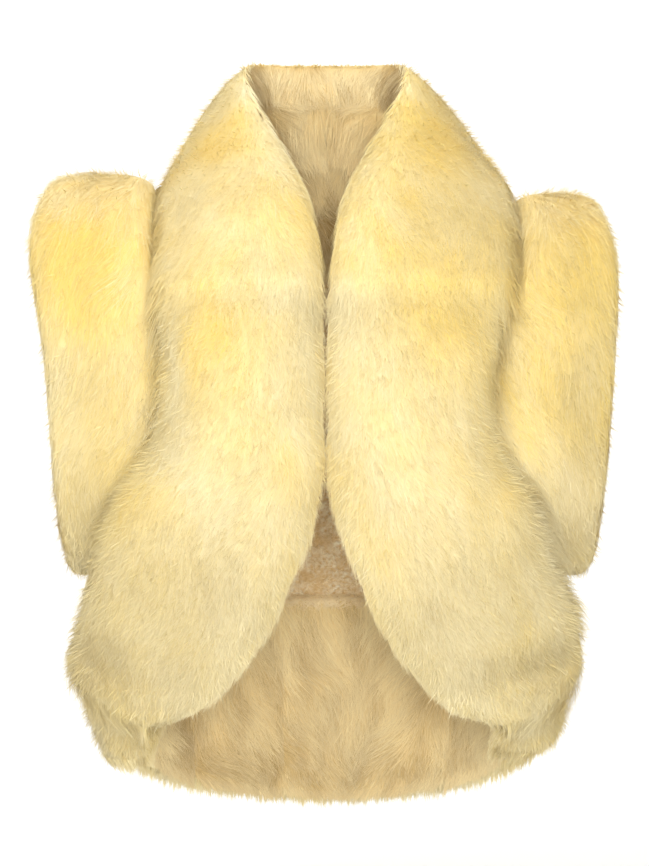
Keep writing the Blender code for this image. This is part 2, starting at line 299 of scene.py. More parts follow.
# the back: half an ellipse-like section from edge to edge, lower in the middle of the hem
def backSkin(rows, count):
    at = np.linspace(0, len(back["pile"]) - 1, rows)
    names = ("halfWidth", "edgeY", "middleY", "edgeZ", "middleZ")
    half, edgeY, middleY, edgeZ, middleZ = (through(back[name], at)[:, None] for name in names)
    along, above, turn = arc(count, cut["backSweep"])
    x = half * (2 * along - 1)
    tips = np.stack([x, edgeY + (middleY - edgeY) * above, edgeZ + (middleZ - edgeZ) * above], axis=-1)
    return panelSkin(tips, normalsOf(tips, -1.0), pileDepth(through(back["pile"], at), turn), turn)


# the underarm panel: sections arch from the side seam to the free end under the front, which wavers
def sideSkin(side, rows, count):
    sign = sides[side]
    mirror = np.array([sign, 1.0, 1.0])
    at = np.linspace(0, len(underarm["pile"]) - 1, rows)
    start = columnsAt(underarm, ("backX", "backY", "backZ"), at) * mirror
    end = columnsAt(underarm, ("frontX", "frontY", "frontZ"), at) * mirror
    lift = cut["sideHemLift"][side] * (at / at[-1]) ** 2
    start[:, 2] += lift
    end[:, 2] += lift
    end[:, 0] += cut["sideWaver"] * softNoise(end, cut["sideWaverSize"], 7)
    rise = through(underarm["rise"], at)
    tips, normals, _, turn = arched(start, end, rise, count, cut["sideSweep"], -sign)
    return panelSkin(tips, normals, pileDepth(through(underarm["pile"], at), turn), turn)


# the cap: a ring round the armhole with a rounded bar from inX to outX as its section, drawn in by inset
def capSkin(side, rings, count, inset=0.0):
    at = np.arange(rings) * len(cap["halfPile"]) / rings
    middleY, middleZ, halfPile = columnsAt(cap, ("middleY", "middleZ", "halfPile"), at, closed=True).T
    inX, outX = columnsAt(cap, ("inX" + side, "outX" + side), at, closed=True).T
    lift = np.clip(1 + middleZ / np.ptp(cap["middleZ"]), 0, 1) ** 2
    line = np.stack([middleY, middleZ + cut["capTopLift"][side] * lift], axis=-1)
    run = unit(stepOf(line, 0, True))
    away = np.stack([run[:, 1], -run[:, 0]], axis=-1)
    away *= np.sign(dot(away, line - line.mean(axis=0)))
    turn = 2 * pi * np.arange(count) / count
    power = 2 / cut["capSquareness"]
    flat, thick = (np.sign(wave) * np.abs(wave) ** power for wave in (np.cos(turn), np.sin(turn)))
    half = ((outX - inX) / 2 - inset)[:, None] * flat[None, :]
    reach = (halfPile - inset)[:, None] * thick[None, :]
    x = sides[side] * ((inX + outX)[:, None] / 2 + half)
    tips = np.stack([x, line[:, :1] + away[:, :1] * reach, line[:, 1:] + away[:, 1:] * reach], axis=-1)
    normals = turnedTo(normalsOf(tips, closed=True), tips - tips.mean(axis=1, keepdims=True))
    depth = np.full(tips.shape[:2], cut["capPile"])
    return {"tips": tips, "normals": normals, "depth": depth, "closed": True}


# A layer on the inside of a panel, from the panel's hide moved in by a gap, with its pile standing inward.
# The pile thins out to its edges, but for those that keep it full.
def layerSkin(panel, rows, columns, pile, full=()):
    grid = np.meshgrid(rows, columns, indexing="ij")
    normals = unit(readGrid(panel["normals"], *grid))
    across = np.linspace(-1, 1, len(columns))
    along = np.linspace(-1, 1, len(rows))
    thinned = 1 - cut["layerEdgeShare"]
    rounded = np.sqrt(1 - thinned * np.abs(across) ** cut["acrossRounding"])
    ends = np.sqrt(1 - thinned * np.abs(along) ** cut["alongRounding"])
    rounded[(across < 0) & ("first" in full)] = 1
    rounded[(across > 0) & ("last" in full)] = 1
    ends[(along > 0) & ("foot" in full)] = 1
    gap = cut["layerGap"] * (1 + cut["edgeLift"] * np.abs(across) ** cut["edgeLiftPower"])
    hide = readGrid(panel["hide"], *grid) - normals * gap[None, :, None]
    depth = pile * rounded[None, :] * ends[:, None]
    tips = hide - normals * depth[..., None]
    return {"tips": tips, "normals": turnedTo(normalsOf(tips), -normals), "depth": depth, "hide": hide}


leadLook = {
    "columns": 12, "bulge": 6 * mm, "pile": (2 * mm, 7 * mm), "neckMiddle": np.array([0, 30, 0]) * mm,
    "tint": (0.45, 0.3), "tintFrom": 50 * mm, "tintSpan": 20 * mm,  # darker at the sides of the neck
}


# Adds columns before the first one of a layer, which lead down to it from a panel's free edge in a soft curve
# that is rounded towards the middle of the neck.
def leadIn(skin, edge):
    count = leadLook["columns"]
    way = unit((leadLook["neckMiddle"] - edge) * np.array([1, 1, 0]))[:, None]
    share = np.linspace(0, 1, count, endpoint=False)[None, :, None]
    bulge = way * leadLook["bulge"] * np.sin(pi * share)
    lead = edge[:, None] * (1 - share) + skin["tips"][:, :1] * share + bulge
    tips = np.concatenate([lead, skin["tips"]], axis=1)
    thin = np.broadcast_to(np.linspace(*leadLook["pile"], count), lead.shape[:2])
    depth = np.concatenate([thin, skin["depth"]], axis=1)
    normals = normalsOf(tips)
    normals = normals * np.sign((normals[:, count:] * skin["normals"]).sum())
    beside = ramp(np.abs(edge[:, :1]), leadLook["tintFrom"], leadLook["tintSpan"])
    atEdge, atLayer = leadLook["tint"]
    fade = np.linspace(atLayer, 0, skin["depth"].shape[1])
    tint = beside * np.concatenate([np.linspace(atEdge, atLayer, count), fade])
    return {"tips": tips, "normals": normals, "depth": depth, "bare": ("first",), "tint": tint}


edgeNames = ("top", "foot", "first", "last")
footLook = {"rows": 7, "depth": 6 * mm, "spare": 2 * mm, "tint": 0.15}


# The cut edge at the foot of a panel as a surface of its own, from the hide to the tips, that faces down.
# It lies some rows above the foot, so that the hair on it ends where the panel does.
def footSkin(skin, rowsUp, seed):
    share = np.linspace(0, 1, footLook["rows"])[:, None, None]
    tips = skin["hide"][-rowsUp] * (1 - share) + skin["tips"][-rowsUp] * share
    size = tips.shape[:2]
    return {
        "tips": tips, "normals": turnedTo(normalsOf(tips), down), "depth": np.full(size, footLook["depth"]),
        "seed": seed, "flow": down + 0.0 * tips, "spare": dict.fromkeys(edgeNames, footLook["spare"]),
        "tint": np.full(size, footLook["tint"]), "bare": ("all",),
    }


# Meshes from arrays

# puts points and faces (arrays of 3 or 4 corners) in a new object of the vest
def addMesh(name, points, faceSets, materials, faceMaterial=None):
    mesh = bpy.data.meshes.new(name)
    corners = np.concatenate([faces.ravel() for faces in faceSets])
    sizes = np.concatenate([np.full(len(faces), faces.shape[1]) for faces in faceSets])
    starts = np.concatenate([[0], np.cumsum(sizes)[:-1]])
    mesh.vertices.add(len(points))
    mesh.vertices.foreach_set("co", points.astype(np.float32).ravel())
    mesh.loops.add(len(corners))
    mesh.loops.foreach_set("vertex_index", corners.astype(np.int32))
    mesh.polygons.add(len(sizes))
    mesh.polygons.foreach_set("loop_start", starts.astype(np.int32))
    mesh.polygons.foreach_set("use_smooth", np.ones(len(sizes), bool))
    for finish in materials:
        mesh.materials.append(finish)
    if faceMaterial is not None:
        mesh.polygons.foreach_set("material_index", faceMaterial.astype(np.int32))
    mesh.update(calc_edges=True)
    piece = bpy.data.objects.new(name, mesh)
    bpy.context.scene.collection.objects.link(piece)
    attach(piece, "root")
    return piece


# four-cornered faces between the rows and columns of a grid, which may meet itself either way
def gridFaces(count, across, alongClosed=False, acrossClosed=False):
    rows = np.arange(count if alongClosed else count - 1)
    columns = np.arange(across if acrossClosed else across - 1)
    i, j = np.meshgrid(rows, columns, indexing="ij")
    near, far, after = i * across, (i + 1) % count * across, (j + 1) % across
    return np.stack([near + j, near + after, far + after, far + j], axis=-1).reshape(-1, 4)


# joins rings of points: an open row of rings gets a wall at each end, a closed one meets itself
def ringMesh(name, rings, materials, split=None, closed=False):
    count, across = rings.shape[:2]
    faces = gridFaces(count, across, closed, True)
    faceMaterial = np.zeros(len(faces), int)
    if split is not None:
        column = np.arange(len(faces)) % across
        faceMaterial[(column >= split) & (column < across - 1)] = 1
    if not closed:
        k = np.arange(across // 2 - 1)
        end = np.stack([k, k + 1, across - 2 - k, across - 1 - k], axis=-1)
        faces = np.concatenate([faces, end[:, ::-1], end + (count - 1) * across])
        faceMaterial = np.concatenate([faceMaterial, np.zeros(2 * len(end), int)])
    points = rings.reshape(-1, 3)
    a, b, c, d = (points[faces[:, corner]] for corner in range(4))
    if (np.cross(b - a, c - a) * a + np.cross(c - a, d - a) * a).sum() < 0:
        faces = faces[:, ::-1]
    return addMesh(name, points, [faces], materials, faceMaterial)


# Hair

# places, in grid rows and columns, drawn evenly by area, and then drawn together to the foot by footShare
def drawRoots(skin, count, pick, footShare):
    tips, closed = skin["tips"], skin.get("closed", False)
    along = np.roll(tips, -1, axis=0) - tips
    across = np.roll(tips, -1, axis=1) - tips
    area = np.linalg.norm(np.cross(along, across), axis=-1)
    if not closed:
        area = area[:-1, :-1]
    total = np.cumsum(area.ravel())
    cell = np.searchsorted(total, pick.random(count) * total[-1])
    rows, columns = np.divmod(cell, area.shape[1])
    above = len(area) - rows - pick.random(count)
    return len(area) - above * footShare, columns + pick.random(count)


# grid steps that carry a point by a given move along the surface: the normal equations of its two ways
def gridSteps(alongWay, acrossWay, move):
    a, b, c = dot(alongWay, alongWay), dot(alongWay, acrossWay), dot(acrossWay, acrossWay)
    p, q = dot(alongWay, move), dot(acrossWay, move)
    whole = np.maximum(a * c - b * b, 1e-16)
    return ((p * c - q * b) / whole)[:, 0], ((q * a - p * b) / whole)[:, 0]


hairDraw = {
    "reachLimit": 2.0,  # how far a hair may lie from its root on an uneven grid, as a share of its length
    "looseReach": 8 * mm,  # past an edge by this much, a hair is lit by its own facing and not by the panel's
    "wander": 4 * mm,  # how far the cells of the locks are warped, and over what size
    "wanderSize": 60 * mm,
    "length": (0.72, 0.4, 0.16),  # the least share, and what the draws of the hair and of its lock add
    "spare": (0.2, 0.55, 0.4),  # the least share, and what the draws of the lock and of the hair add
    "bendAt": 0.42,  # where a hair of two joints bends, and how far it has gathered by then
    "bendGather": 0.45,
    "bendLift": 0.4,
    "sinkLimit": 0.1,  # of the pile's depth
    "widths": (0.7, 1.25),
}


# Places the hairs of one layer. A root lies in the wool, and the hair leans along the combed flow over
# the panel's own surface, so that its tip ends at the tips of the pile. Hairs of one cell gather towards
# a point in that cell. Past an open edge they hang over by up to the spare length of that edge, and droop.
# Strays stand off the surface, by more where it faces a side.
def placeHairs(skin, look, count, seed):
    pick = np.random.default_rng(seed)
    closed = skin.get("closed", False)
    rows, columns = drawRoots(skin, count, pick, look["footShare"])
    tips = skin["tips"]
    lastRow, lastColumn = tips.shape[0] - 1, tips.shape[1] - 1

    def read(grid, r=rows, c=columns):
        return readGrid(grid, r, c, closed)

    def readNormal(r, c):
        if not closed:
            r = np.clip(r, 0, lastRow)
            c = np.clip(c, 0, lastColumn)
        return unit(read(skin["normals"], r, c))

    point = read(tips)
    normal = readNormal(rows, columns)
    depth = read(skin["depth"])[:, None]
    alongWay, acrossWay = (read(stepOf(tips, axis, closed)) for axis in (0, 1))
    alongSize, acrossSize = lengthOf(alongWay), lengthOf(acrossWay)

    # combed flow, swayed by noise and turned a little hair by hair
    flow = read(skin["flow"])
    flow = unit(flow - normal * dot(flow, normal))
    aside = np.cross(normal, flow)
    sway = look["sway"] * softNoise(point, look["swaySize"], skin["seed"] + 1)
    sway = sway + look["ruffle"] * pick.normal(size=count)
    flow = unit(flow + aside * sway[:, None])

    # gathering into locks; upright ones gather sideways only
    wander = [softNoise(point, hairDraw["wanderSize"], skin["seed"] + k) for k in (2, 3, 4)]
    warped = point + np.stack(wander, axis=-1) * hairDraw["wander"]
    level = np.array([1, 1, 0])
    free = level if look["upright"] else 1
    cells = np.floor(warped / look["lock"]) * free
    jitter = np.stack([cellDraw(cells, salt) for salt in (1.7, 5.3, 9.1)], axis=-1)
    gather = ((cells + jitter) * look["lock"] - warped) * free
    gather = (gather - normal * dot(gather, normal)) * look["gather"]
    lockDraw, reachDraw = cellDraw(cells, 3.9), cellDraw(cells * level, 7.7)

    # the hair's run over the grid, cut short where the grid is uneven
    least, byHair, byLock = hairDraw["length"]
    length = (look["length"] * (least + byHair * pick.random(count) + byLock * (lockDraw - 0.5)))[:, None]
    stepR, stepC = gridSteps(alongWay, acrossWay, flow * length + gather)
    part = flow * length * hairDraw["bendAt"] + gather * hairDraw["bendGather"]
    midR, midC = gridSteps(alongWay, acrossWay, part)
    gone = lengthOf(read(tips, rows + stepR, columns + stepC) - point)
    keep = np.minimum(1, hairDraw["reachLimit"] * length[:, 0] / np.maximum(gone, mm))
    endR, bendR = rows + stepR * keep, rows + midR * keep
    endC, bendC = columns + stepC * keep, columns + midC * keep
    hang, raised = np.zeros((2, count, 1))
    loose = np.zeros(count)
    if not closed:
        least, byLock, byHair = hairDraw["spare"]
        draw = least + byLock * reachDraw + byHair * pick.random(count)
        spareR, spareC = draw / alongSize, draw / acrossSize
        top, foot, first, last = (skin["spare"][name] for name in edgeNames)
        endR = np.clip(endR, -top * spareR, lastRow + foot * spareR)
        endC = np.clip(endC, -first * spareC, lastColumn + last * spareC)
        bendR = np.clip(bendR, -top * spareR / 2, lastRow + foot * spareR / 2)
        bendC = np.clip(bendC, -first * spareC / 2, lastColumn + last * spareC / 2)
        past = np.stack([-endC, endC - lastColumn]).clip(0) * acrossSize
        below = (endR - lastRow).clip(0) * alongSize
        hang = (past.sum(axis=0) * look["droop"])[:, None]
        lastLift = np.interp(rows, np.arange(lastRow + 1), skin.get("lastLift", np.zeros(lastRow + 1)))
        raised = (past[1] * lastLift + below * skin.get("footLift", 0.0))[:, None]
        loose = ramp(past.sum(axis=0) + below, 0, hairDraw["looseReach"])

    # points of the hair
    stand = look["stand"] * pick.normal(size=count) + look["lockStand"] * (lockDraw - 0.5)
    stray = pick.random(count) < look["strays"]
    beside = np.clip(1 - 2 * np.abs(normal[:, 1]), 0, 1)  # 1 facing a side, 0 from halfway to the front
    lift = look["strayStand"] * (1 + look["sideFluff"] * beside)
    stand = (stand + stray * lift * (0.5 * pick.random(count) + 0.5 * reachDraw))[:, None]
    root = point - normal * depth * look["rootShare"]
    bendSink = depth * look["bendShare"] - hairDraw["bendLift"] * stand - hairDraw["bendLift"] * raised
    bend = read(tips, bendR, bendC) - readNormal(bendR, bendC) * bendSink
    sink = np.minimum(look["sink"], hairDraw["sinkLimit"] * depth)
    tip = read(tips, endR, endC) + readNormal(endR, endC) * (stand - sink + raised) + down * hang

    # flat strands that face outward, rolled a little
    run = unit(tip - root)
    roll = (look["roll"] * pick.normal(size=count))[:, None]
    flat = unit(np.cross(run, normal))
    half = look["width"] * pick.uniform(*hairDraw["widths"], (count, 1)) / 2
    edge = (flat * np.cos(roll) + np.cross(flat, run) * np.sin(roll)) * half
    points = [root - edge, root + edge, tip]
    if look["joints"] == 2:
        bendEdge = edge * look["bendWidth"]
        points[2:2] = [bend - bendEdge, bend + bendEdge]
    tint = read(skin["tint"]) if "tint" in skin else np.zeros(count)
    # hair that faces a side gets more painted shade
    tint = tint + look["sidePaintedShade"] * beside
    return np.stack(points, axis=1), point, normal * (1 - loose)[:, None], tint


strandAlong = {5: np.array([0.0, 0.0, 0.5, 0.5, 1.0]), 3: np.array([0.3, 0.3, 1.0])}
strandSide = {5: np.array([-1, 1, -1, 1, 0]), 3: np.array([-1, 1, 0])}
strandFaces = {5: ([[0, 1, 3, 2]], [[2, 3, 4]]), 3: ([[0, 1, 2]],)}
mat = {"share": 0.4, "depth": 4 * mm, "lap": 4 * mm, "drop": 3 * mm, "along": 0.4, "spread": 0.05}
atlas = {"dye": 8, "tone": 4, "shade": 6, "columns": 16, "rows": 12, "margin": 0.1, "strip": 0.3}


# one normal for each point of a strand: the cross product of its width and its run
def strandNormals(points):
    width = points[:, 1] - points[:, 0]
    lower = unit(np.cross(width, points[:, 2] - points[:, 0]))
    if points.shape[1] == 3:
        return np.stack([lower, lower, lower], axis=1)
    upper = unit(np.cross(width, points[:, 4] - points[:, 2]))
    middle = unit(lower + upper)
    return np.stack([lower, lower, middle, middle, upper], axis=1)


# Each hair has a class: how yellow, how bright and how shaded it is, in a few levels round the true value.
def hairClass(coat, draw):
    steps = {key: atlas[key] - 1 for key in coat}
    return {key: np.floor(np.clip(coat[key], 0, 1) * steps[key] * 0.9999 + draw) for key in coat}


# places in the map for baking: each class has a cell there, with its colours from root to tip along it
def classSpots(levels, along, side):
    place = (levels["dye"] * atlas["tone"] + levels["tone"]) * atlas["shade"] + levels["shade"]
    cellY, cellX = np.divmod(place, atlas["columns"])
    margin = atlas["margin"]
    u = (cellX[:, None] + margin + (1 - 2 * margin) * along) / atlas["columns"]
    v = (cellY[:, None] + 0.5 + atlas["strip"] * side) / atlas["rows"]
    return np.stack([u, v], axis=-1)


# the values that the finish reads: dye, place along the hair, tone and shade
def coatValues(coat, along):
    parts = np.broadcast_arrays(coat["dye"][:, None], along, coat["tone"][:, None], coat["shade"][:, None])
    return np.clip(np.stack(parts, axis=-1), 0, 1).reshape(-1, 4)


# one layer of hairs as points, normals, coat values, and faces with their spots in the map
def hairPart(skin, look, count, coat, seed):
    points, place, normal, tint = placeHairs(skin, look, count, seed)
    corners = points.shape[1]
    pick = np.random.default_rng(seed + 5)
    levels = hairClass(coat(place, pick.normal(size=(count, 3)), tint + look["tint"]), pick.random(count))
    drawn = {key: levels[key] / (atlas[key] - 1) for key in levels}
    spots = classSpots(levels, strandAlong[corners], strandSide[corners]).reshape(-1, 2)
    start = np.arange(count)[:, None] * corners
    faces = [start + np.array(face) for face in strandFaces[corners]]
    return {
        "points": points.reshape(-1, 3),
        "normals": unit(normal[:, None] * look["softness"] + strandNormals(points)).reshape(-1, 3),
        "values": coatValues(drawn, strandAlong[corners]),
        "faces": faces, "spots": [spots[corner.ravel()] for corner in faces],
    }


# The dense wool that the hair stands in: the tips lowered by a share of the pile. At an open edge it
# laps on past the edge, by a length or by a function of the edge's points, and drops towards the hide, so
# that no gap shows at the seams. At a bare edge it stops short, so that only hair hangs there.
def matPart(skin, coat):
    closed = skin.get("closed", False)
    lower = np.minimum(skin["depth"] * mat["share"], mat["depth"])
    bare = skin.get("bare", ())
    rows = slice(2 * ("top" in bare), len(lower) - 2 * ("foot" in bare), 2)
    grid = (skin["tips"] - skin["normals"] * lower[..., None])[rows, ::2]
    normals = skin["normals"][rows, ::2]
    tint = skin.get("tint", np.zeros(lower.shape))[rows, ::2]
    for axis in () if closed else (0, 1):
        ends = []
        for edge, inner, where in zip((0, -1), (1, -2), edgeNames[2 * axis:]):
            rim, before = (np.take(grid, [k], axis) for k in (edge, inner))
            lap = skin.get("lap", {}).get(where, mat["lap"])
            onward = unit(rim - before)
            onward = lap(rim, onward) if callable(lap) else onward * lap
            ends.append(rim + onward - np.take(normals, [edge], axis) * mat["drop"])
        lapped = axis == 0 or "first" not in bare
        grid = np.concatenate([*ends[:lapped], grid, ends[1]], axis)
        around = np.clip(np.arange(-lapped, normals.shape[axis] + 1), 0, normals.shape[axis] - 1)
        normals, tint = (np.take(part, around, axis) for part in (normals, tint))
    faces = gridFaces(*grid.shape[:2], closed, closed)
    points, normals, tint = grid.reshape(-1, 3), normals.reshape(-1, 3), tint.ravel()
    a, b, c, d = (points[faces[:, corner]] for corner in range(4))
    if (np.cross(c - a, d - b) * normals[faces[:, 0]]).sum() < 0:
        faces = faces[:, ::-1]
    middle = (a + b + c + d) / 4
    levels = hairClass(coat(middle, np.zeros(middle.shape), tint[faces[:, 0]]), 0.5)
    around = mat["spread"] * np.array([-1, 1, 1, -1])
    spots = classSpots(levels, mat["along"] + around, np.array([-1, -1, 1, 1]))
    return {
        "points": points, "normals": normals,
        "values": coatValues(coat(points, np.zeros(points.shape), tint), np.array([mat["along"]])),
        "faces": [faces], "spots": [spots.reshape(-1, 2)],
    }


# The hair of a panel in one mesh: its wool, unless all of it is bare, and its layers of hair
def growHair(name, skin, layers, coat, finish, node):
    parts = [] if "all" in skin.get("bare", ()) else [matPart(skin, coat)]
    for number, (look, count) in enumerate(layers):
        parts.append(hairPart(skin, look, count, coat, skin["seed"] * 10 + number))
    starts = np.cumsum([0] + [len(part["points"]) for part in parts])
    faceSets = [faces + start for part, start in zip(parts, starts) for faces in part["faces"]]
    spots = np.concatenate([spot for part in parts for spot in part["spots"]])
    points, normals, values = (
        np.concatenate([part[key] for part in parts]) for key in ("points", "normals", "values")
    )
    piece = addMesh(name, points, faceSets, [finish])
    mesh = piece.data
    coatLayer = mesh.attributes.new("coat", "FLOAT_COLOR", "POINT")
    coatLayer.data.foreach_set("color", values.astype(np.float32).ravel())
    mesh.uv_layers.new(name="OFBake").uv.foreach_set("vector", spots.astype(np.float32).ravel())
    mesh.normals_split_custom_set_from_vertices(normals)
    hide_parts(node)
    return piece


# Materials

# a colour as six hexadecimal digits, turned to linear light
def ink(code):
    value = np.array([int(code[k:k + 2], 16) for k in (0, 2, 4)]) / 255
    linear = np.where(value <= 0.04045, value / 12.92, ((value + 0.055) / 1.055) ** 2.4)
    return (*linear.tolist(), 1.0)


def newFinish(name, roughness, specular, sheen, sheenRoughness, sheenTint):
    made = bpy.data.materials.new(name)
    made.use_nodes = True
    shader = made.node_tree.nodes["Principled BSDF"]
    values = {
        "Roughness": roughness, "Specular IOR Level": specular, "Sheen Weight": sheen,
        "Sheen Roughness": sheenRoughness, "Sheen Tint": ink(sheenTint),
    }
    for key, value in values.items():
        shader.inputs[key].default_value = value
    return made, shader


# a node with its sockets or settings given by name
def addNode(finish, kind, **values):
    node = finish.node_tree.nodes.new(kind)
    for key, value in values.items():
        if key in node.inputs:
            node.inputs[key].default_value = value
        else:
            setattr(node, key, value)
    return node


# gives a socket another node's output, or a fixed value
def feed(finish, value, socket):
    if isinstance(value, bpy.types.NodeSocket):
        finish.node_tree.links.new(value, socket)
    else:
        socket.default_value = value


# a mix of two colours, each a fixed one or another node's output
def mixColour(finish, share, first, second, blend="MIX"):
    node = addNode(finish, "ShaderNodeMix", data_type="RGBA", blend_type=blend)
    for place, value in ((0, share), (6, first), (7, second)):
        feed(finish, value, node.inputs[place])
    return node.outputs[2]


# a value carried from the range low to high over to another range
def mapRange(finish, value, low, high, toLow=0.0, toHigh=1.0):
    limits = {"From Min": low, "From Max": high, "To Min": toLow, "To Max": toHigh}
    node = addNode(finish, "ShaderNodeMapRange", **limits)
    feed(finish, value, node.inputs["Value"])
    return node.outputs["Result"]


hairSheenRoughness = 0.4


# hair: body colour by dye, then shade, which is mostly painted shade; darker to the root, partly the roots'
# own tan and partly painted shade deep in the pile; paler to the tip; brightness by tone
def hairFinish(name, look):
    gloss = (look["roughness"], look["specular"], look["sheen"], hairSheenRoughness, look["tip"])
    finish, shader = newFinish(name, *gloss)
    coat = addNode(finish, "ShaderNodeAttribute", attribute_name="coat")
    parts = addNode(finish, "ShaderNodeSeparateColor")
    feed(finish, coat.outputs["Color"], parts.inputs["Color"])
    dye, along, tone = (parts.outputs[k] for k in ("Red", "Green", "Blue"))
    body = mixColour(finish, dye, ink(look["pale"]), ink(look["dyed"]))
    body = mixColour(finish, coat.outputs["Alpha"], body, ink(look["shaded"]))
    rootColour = mixColour(finish, look["rootMix"], body, ink(look["root"]))
    tipColour = mixColour(finish, look["tipMix"], body, ink(look["tip"]))
    colour = mixColour(finish, mapRange(finish, along, 0.0, 0.5), rootColour, body)
    colour = mixColour(finish, mapRange(finish, along, 0.5, 1.0), colour, tipColour)
    bright = mapRange(finish, tone, 0.0, 1.0, look["dim"], look["bright"])
    colour = mixColour(finish, 1.0, colour, bright, "MULTIPLY")
    feed(finish, colour, shader.inputs["Base Color"])
    return finish


felted = {
    "specular": 0.2, "sheenRoughness": 0.5, "broadRange": (0.3, 0.7), "fleckAndHollowShadeRange": (0.35, 0.65),
    "roughRange": (0.3, 0.7), "smoother": 0.1,
}


# wool or suede: two colours mixed by noise in two sizes, with bump and roughness from the finer one. The
# finer noise also darkens the low places of the bump: flecks of darker fibre, and painted shade in the bump's
# hollows.
def feltedFinish(name, look):
    gloss = (look["roughness"], felted["specular"], look["sheen"], felted["sheenRoughness"], look["light"])
    finish, shader = newFinish(name, *gloss)
    place = addNode(finish, "ShaderNodeTexCoord")
    broad = addNode(finish, "ShaderNodeTexNoise", Scale=look["broad"], Detail=3.0)
    fine = addNode(finish, "ShaderNodeTexNoise", Scale=look["fine"], Detail=4.0)
    for node in (broad, fine):
        feed(finish, place.outputs["Object"], node.inputs["Vector"])
    dark, light = ink(look["dark"]), ink(look["light"])
    colour = mixColour(finish, mapRange(finish, broad.outputs["Fac"], *felted["broadRange"]), dark, light)
    # darker where the bump is low: flecks, and painted shade in its hollows
    fleckAndHollowShade = mapRange(finish, fine.outputs["Fac"], *felted["fleckAndHollowShadeRange"])
    colour = mixColour(finish, fleckAndHollowShade, mixColour(finish, look["fleckAndHollowShade"], colour, dark), colour)
    feed(finish, colour, shader.inputs["Base Color"])
    limits = (look["roughness"] - felted["smoother"], look["roughness"])
    rough = mapRange(finish, fine.outputs["Fac"], *felted["roughRange"], *limits)
    feed(finish, rough, shader.inputs["Roughness"])
    bump = addNode(finish, "ShaderNodeBump", Strength=look["bump"], Distance=look["bumpDepth"])
    feed(finish, fine.outputs["Fac"], bump.inputs["Height"])
    feed(finish, bump.outputs["Normal"], shader.inputs["Normal"])
    return finish


furLook = {
    "pale": "FFF2C4", "dyed": "FFE37C", "shaded": "C2AC72", "root": "F2DC98", "tip": "FFF7D6",
    "rootMix": 0.35, "tipMix": 0.3, "dim": 0.96, "bright": 1.0,
    "roughness": 0.6, "specular": 0.2, "sheen": 0.2,
}
tanLook = {
    "pale": "FFEBB4", "dyed": "FBDE9C", "shaded": "B8965A", "root": "E4C480", "tip": "FFF2C8",
    "rootMix": 0.5, "tipMix": 0.5, "dim": 0.94, "bright": 1.0,
    "roughness": 0.65, "specular": 0.2, "sheen": 0.15,
}
woolLook = {"light": "FAEAB4", "dark": "EBD696", "broad": 14.0, "fine": 260.0, "fleckAndHollowShade": 0.5,
            "roughness": 0.9, "sheen": 0.2, "bump": 0.6, "bumpDepth": 0.003}
suedeLook = {"light": "E9D8AF", "dark": "D5C094", "broad": 10.0, "fine": 420.0, "fleckAndHollowShade": 0.3,
             "roughness": 0.9, "sheen": 0.3, "bump": 0.25, "bumpDepth": 0.001}
tanWoolLook = {"light": "E8CD92", "dark": "CDAE72", "broad": 14.0, "fine": 260.0, "fleckAndHollowShade": 0.5,
               "roughness": 0.95, "sheen": 0.15, "bump": 0.6, "bumpDepth": 0.003}
curlLook = {"light": "FFF4D6", "dark": "DDB982", "broad": 60.0, "fine": 260.0, "fleckAndHollowShade": 1.0,
            "roughness": 0.95, "sheen": 0.15, "bump": 1.0, "bumpDepth": 0.004}
curlHairLook = {
    "pale": "FFEABC", "dyed": "F8DCA8", "shaded": "C69F60", "root": "D6B074", "tip": "FFF0CC",
    "rootMix": 0.5, "tipMix": 0.4, "dim": 0.9, "bright": 1.0,
    "roughness": 0.8, "specular": 0.15, "sheen": 0.1,
}
fur = hairFinish("paleYellowFur", furLook)
tanFur = hairFinish("tanInnerFur", tanLook)
curlFur = hairFinish("curledLiningWool", curlHairLook)
wool = feltedFinish("paleUnderwool", woolLook)
suede = feltedFinish("suedeHide", suedeLook)
tanWool = feltedFinish("tanUnderwool", tanWoolLook)
curls = feltedFinish("curledLining", curlLook)
print("vest: materials made")


# Coats: how yellow, bright and shaded the hair is at each place

# patches on the front, in millimetres: middle, reach and strength
dyePatches = table(
    "x z reachX reachZ amount",
    (-88, 80, 26, 40, 600), (-215, -60, 50, 62, 650), (-262, -40, 20, 60, 50), (-60, -40, 40, 40, 150),
    (-112, -115, 36, 62, 400), (92, 62, 34, 60, 600), (70, -45, 40, 60, 350), (118, -95, 36, 50, 550),
    (232, -70, 46, 60, 650), (258, -190, 16, 70, 450), (205, -120, 30, 50, 200), (-170, -250, 50, 40, 200),
    (-136, -147, 12, 60, -450), (-205, -165, 40, 50, 150), (80, -170, 50, 50, 150), (212, -165, 40, 50, 150),
    (-130, -360, 90, 80, -220), (130, -360, 90, 80, -220), (-80, -10, 60, 50, 180),
    # the last patch pales the middle of the front: painted light where the two fronts roll away from each
    # other
    (100, -60, 45, 70, 300), (0, -150, 35, 80, -300),
)
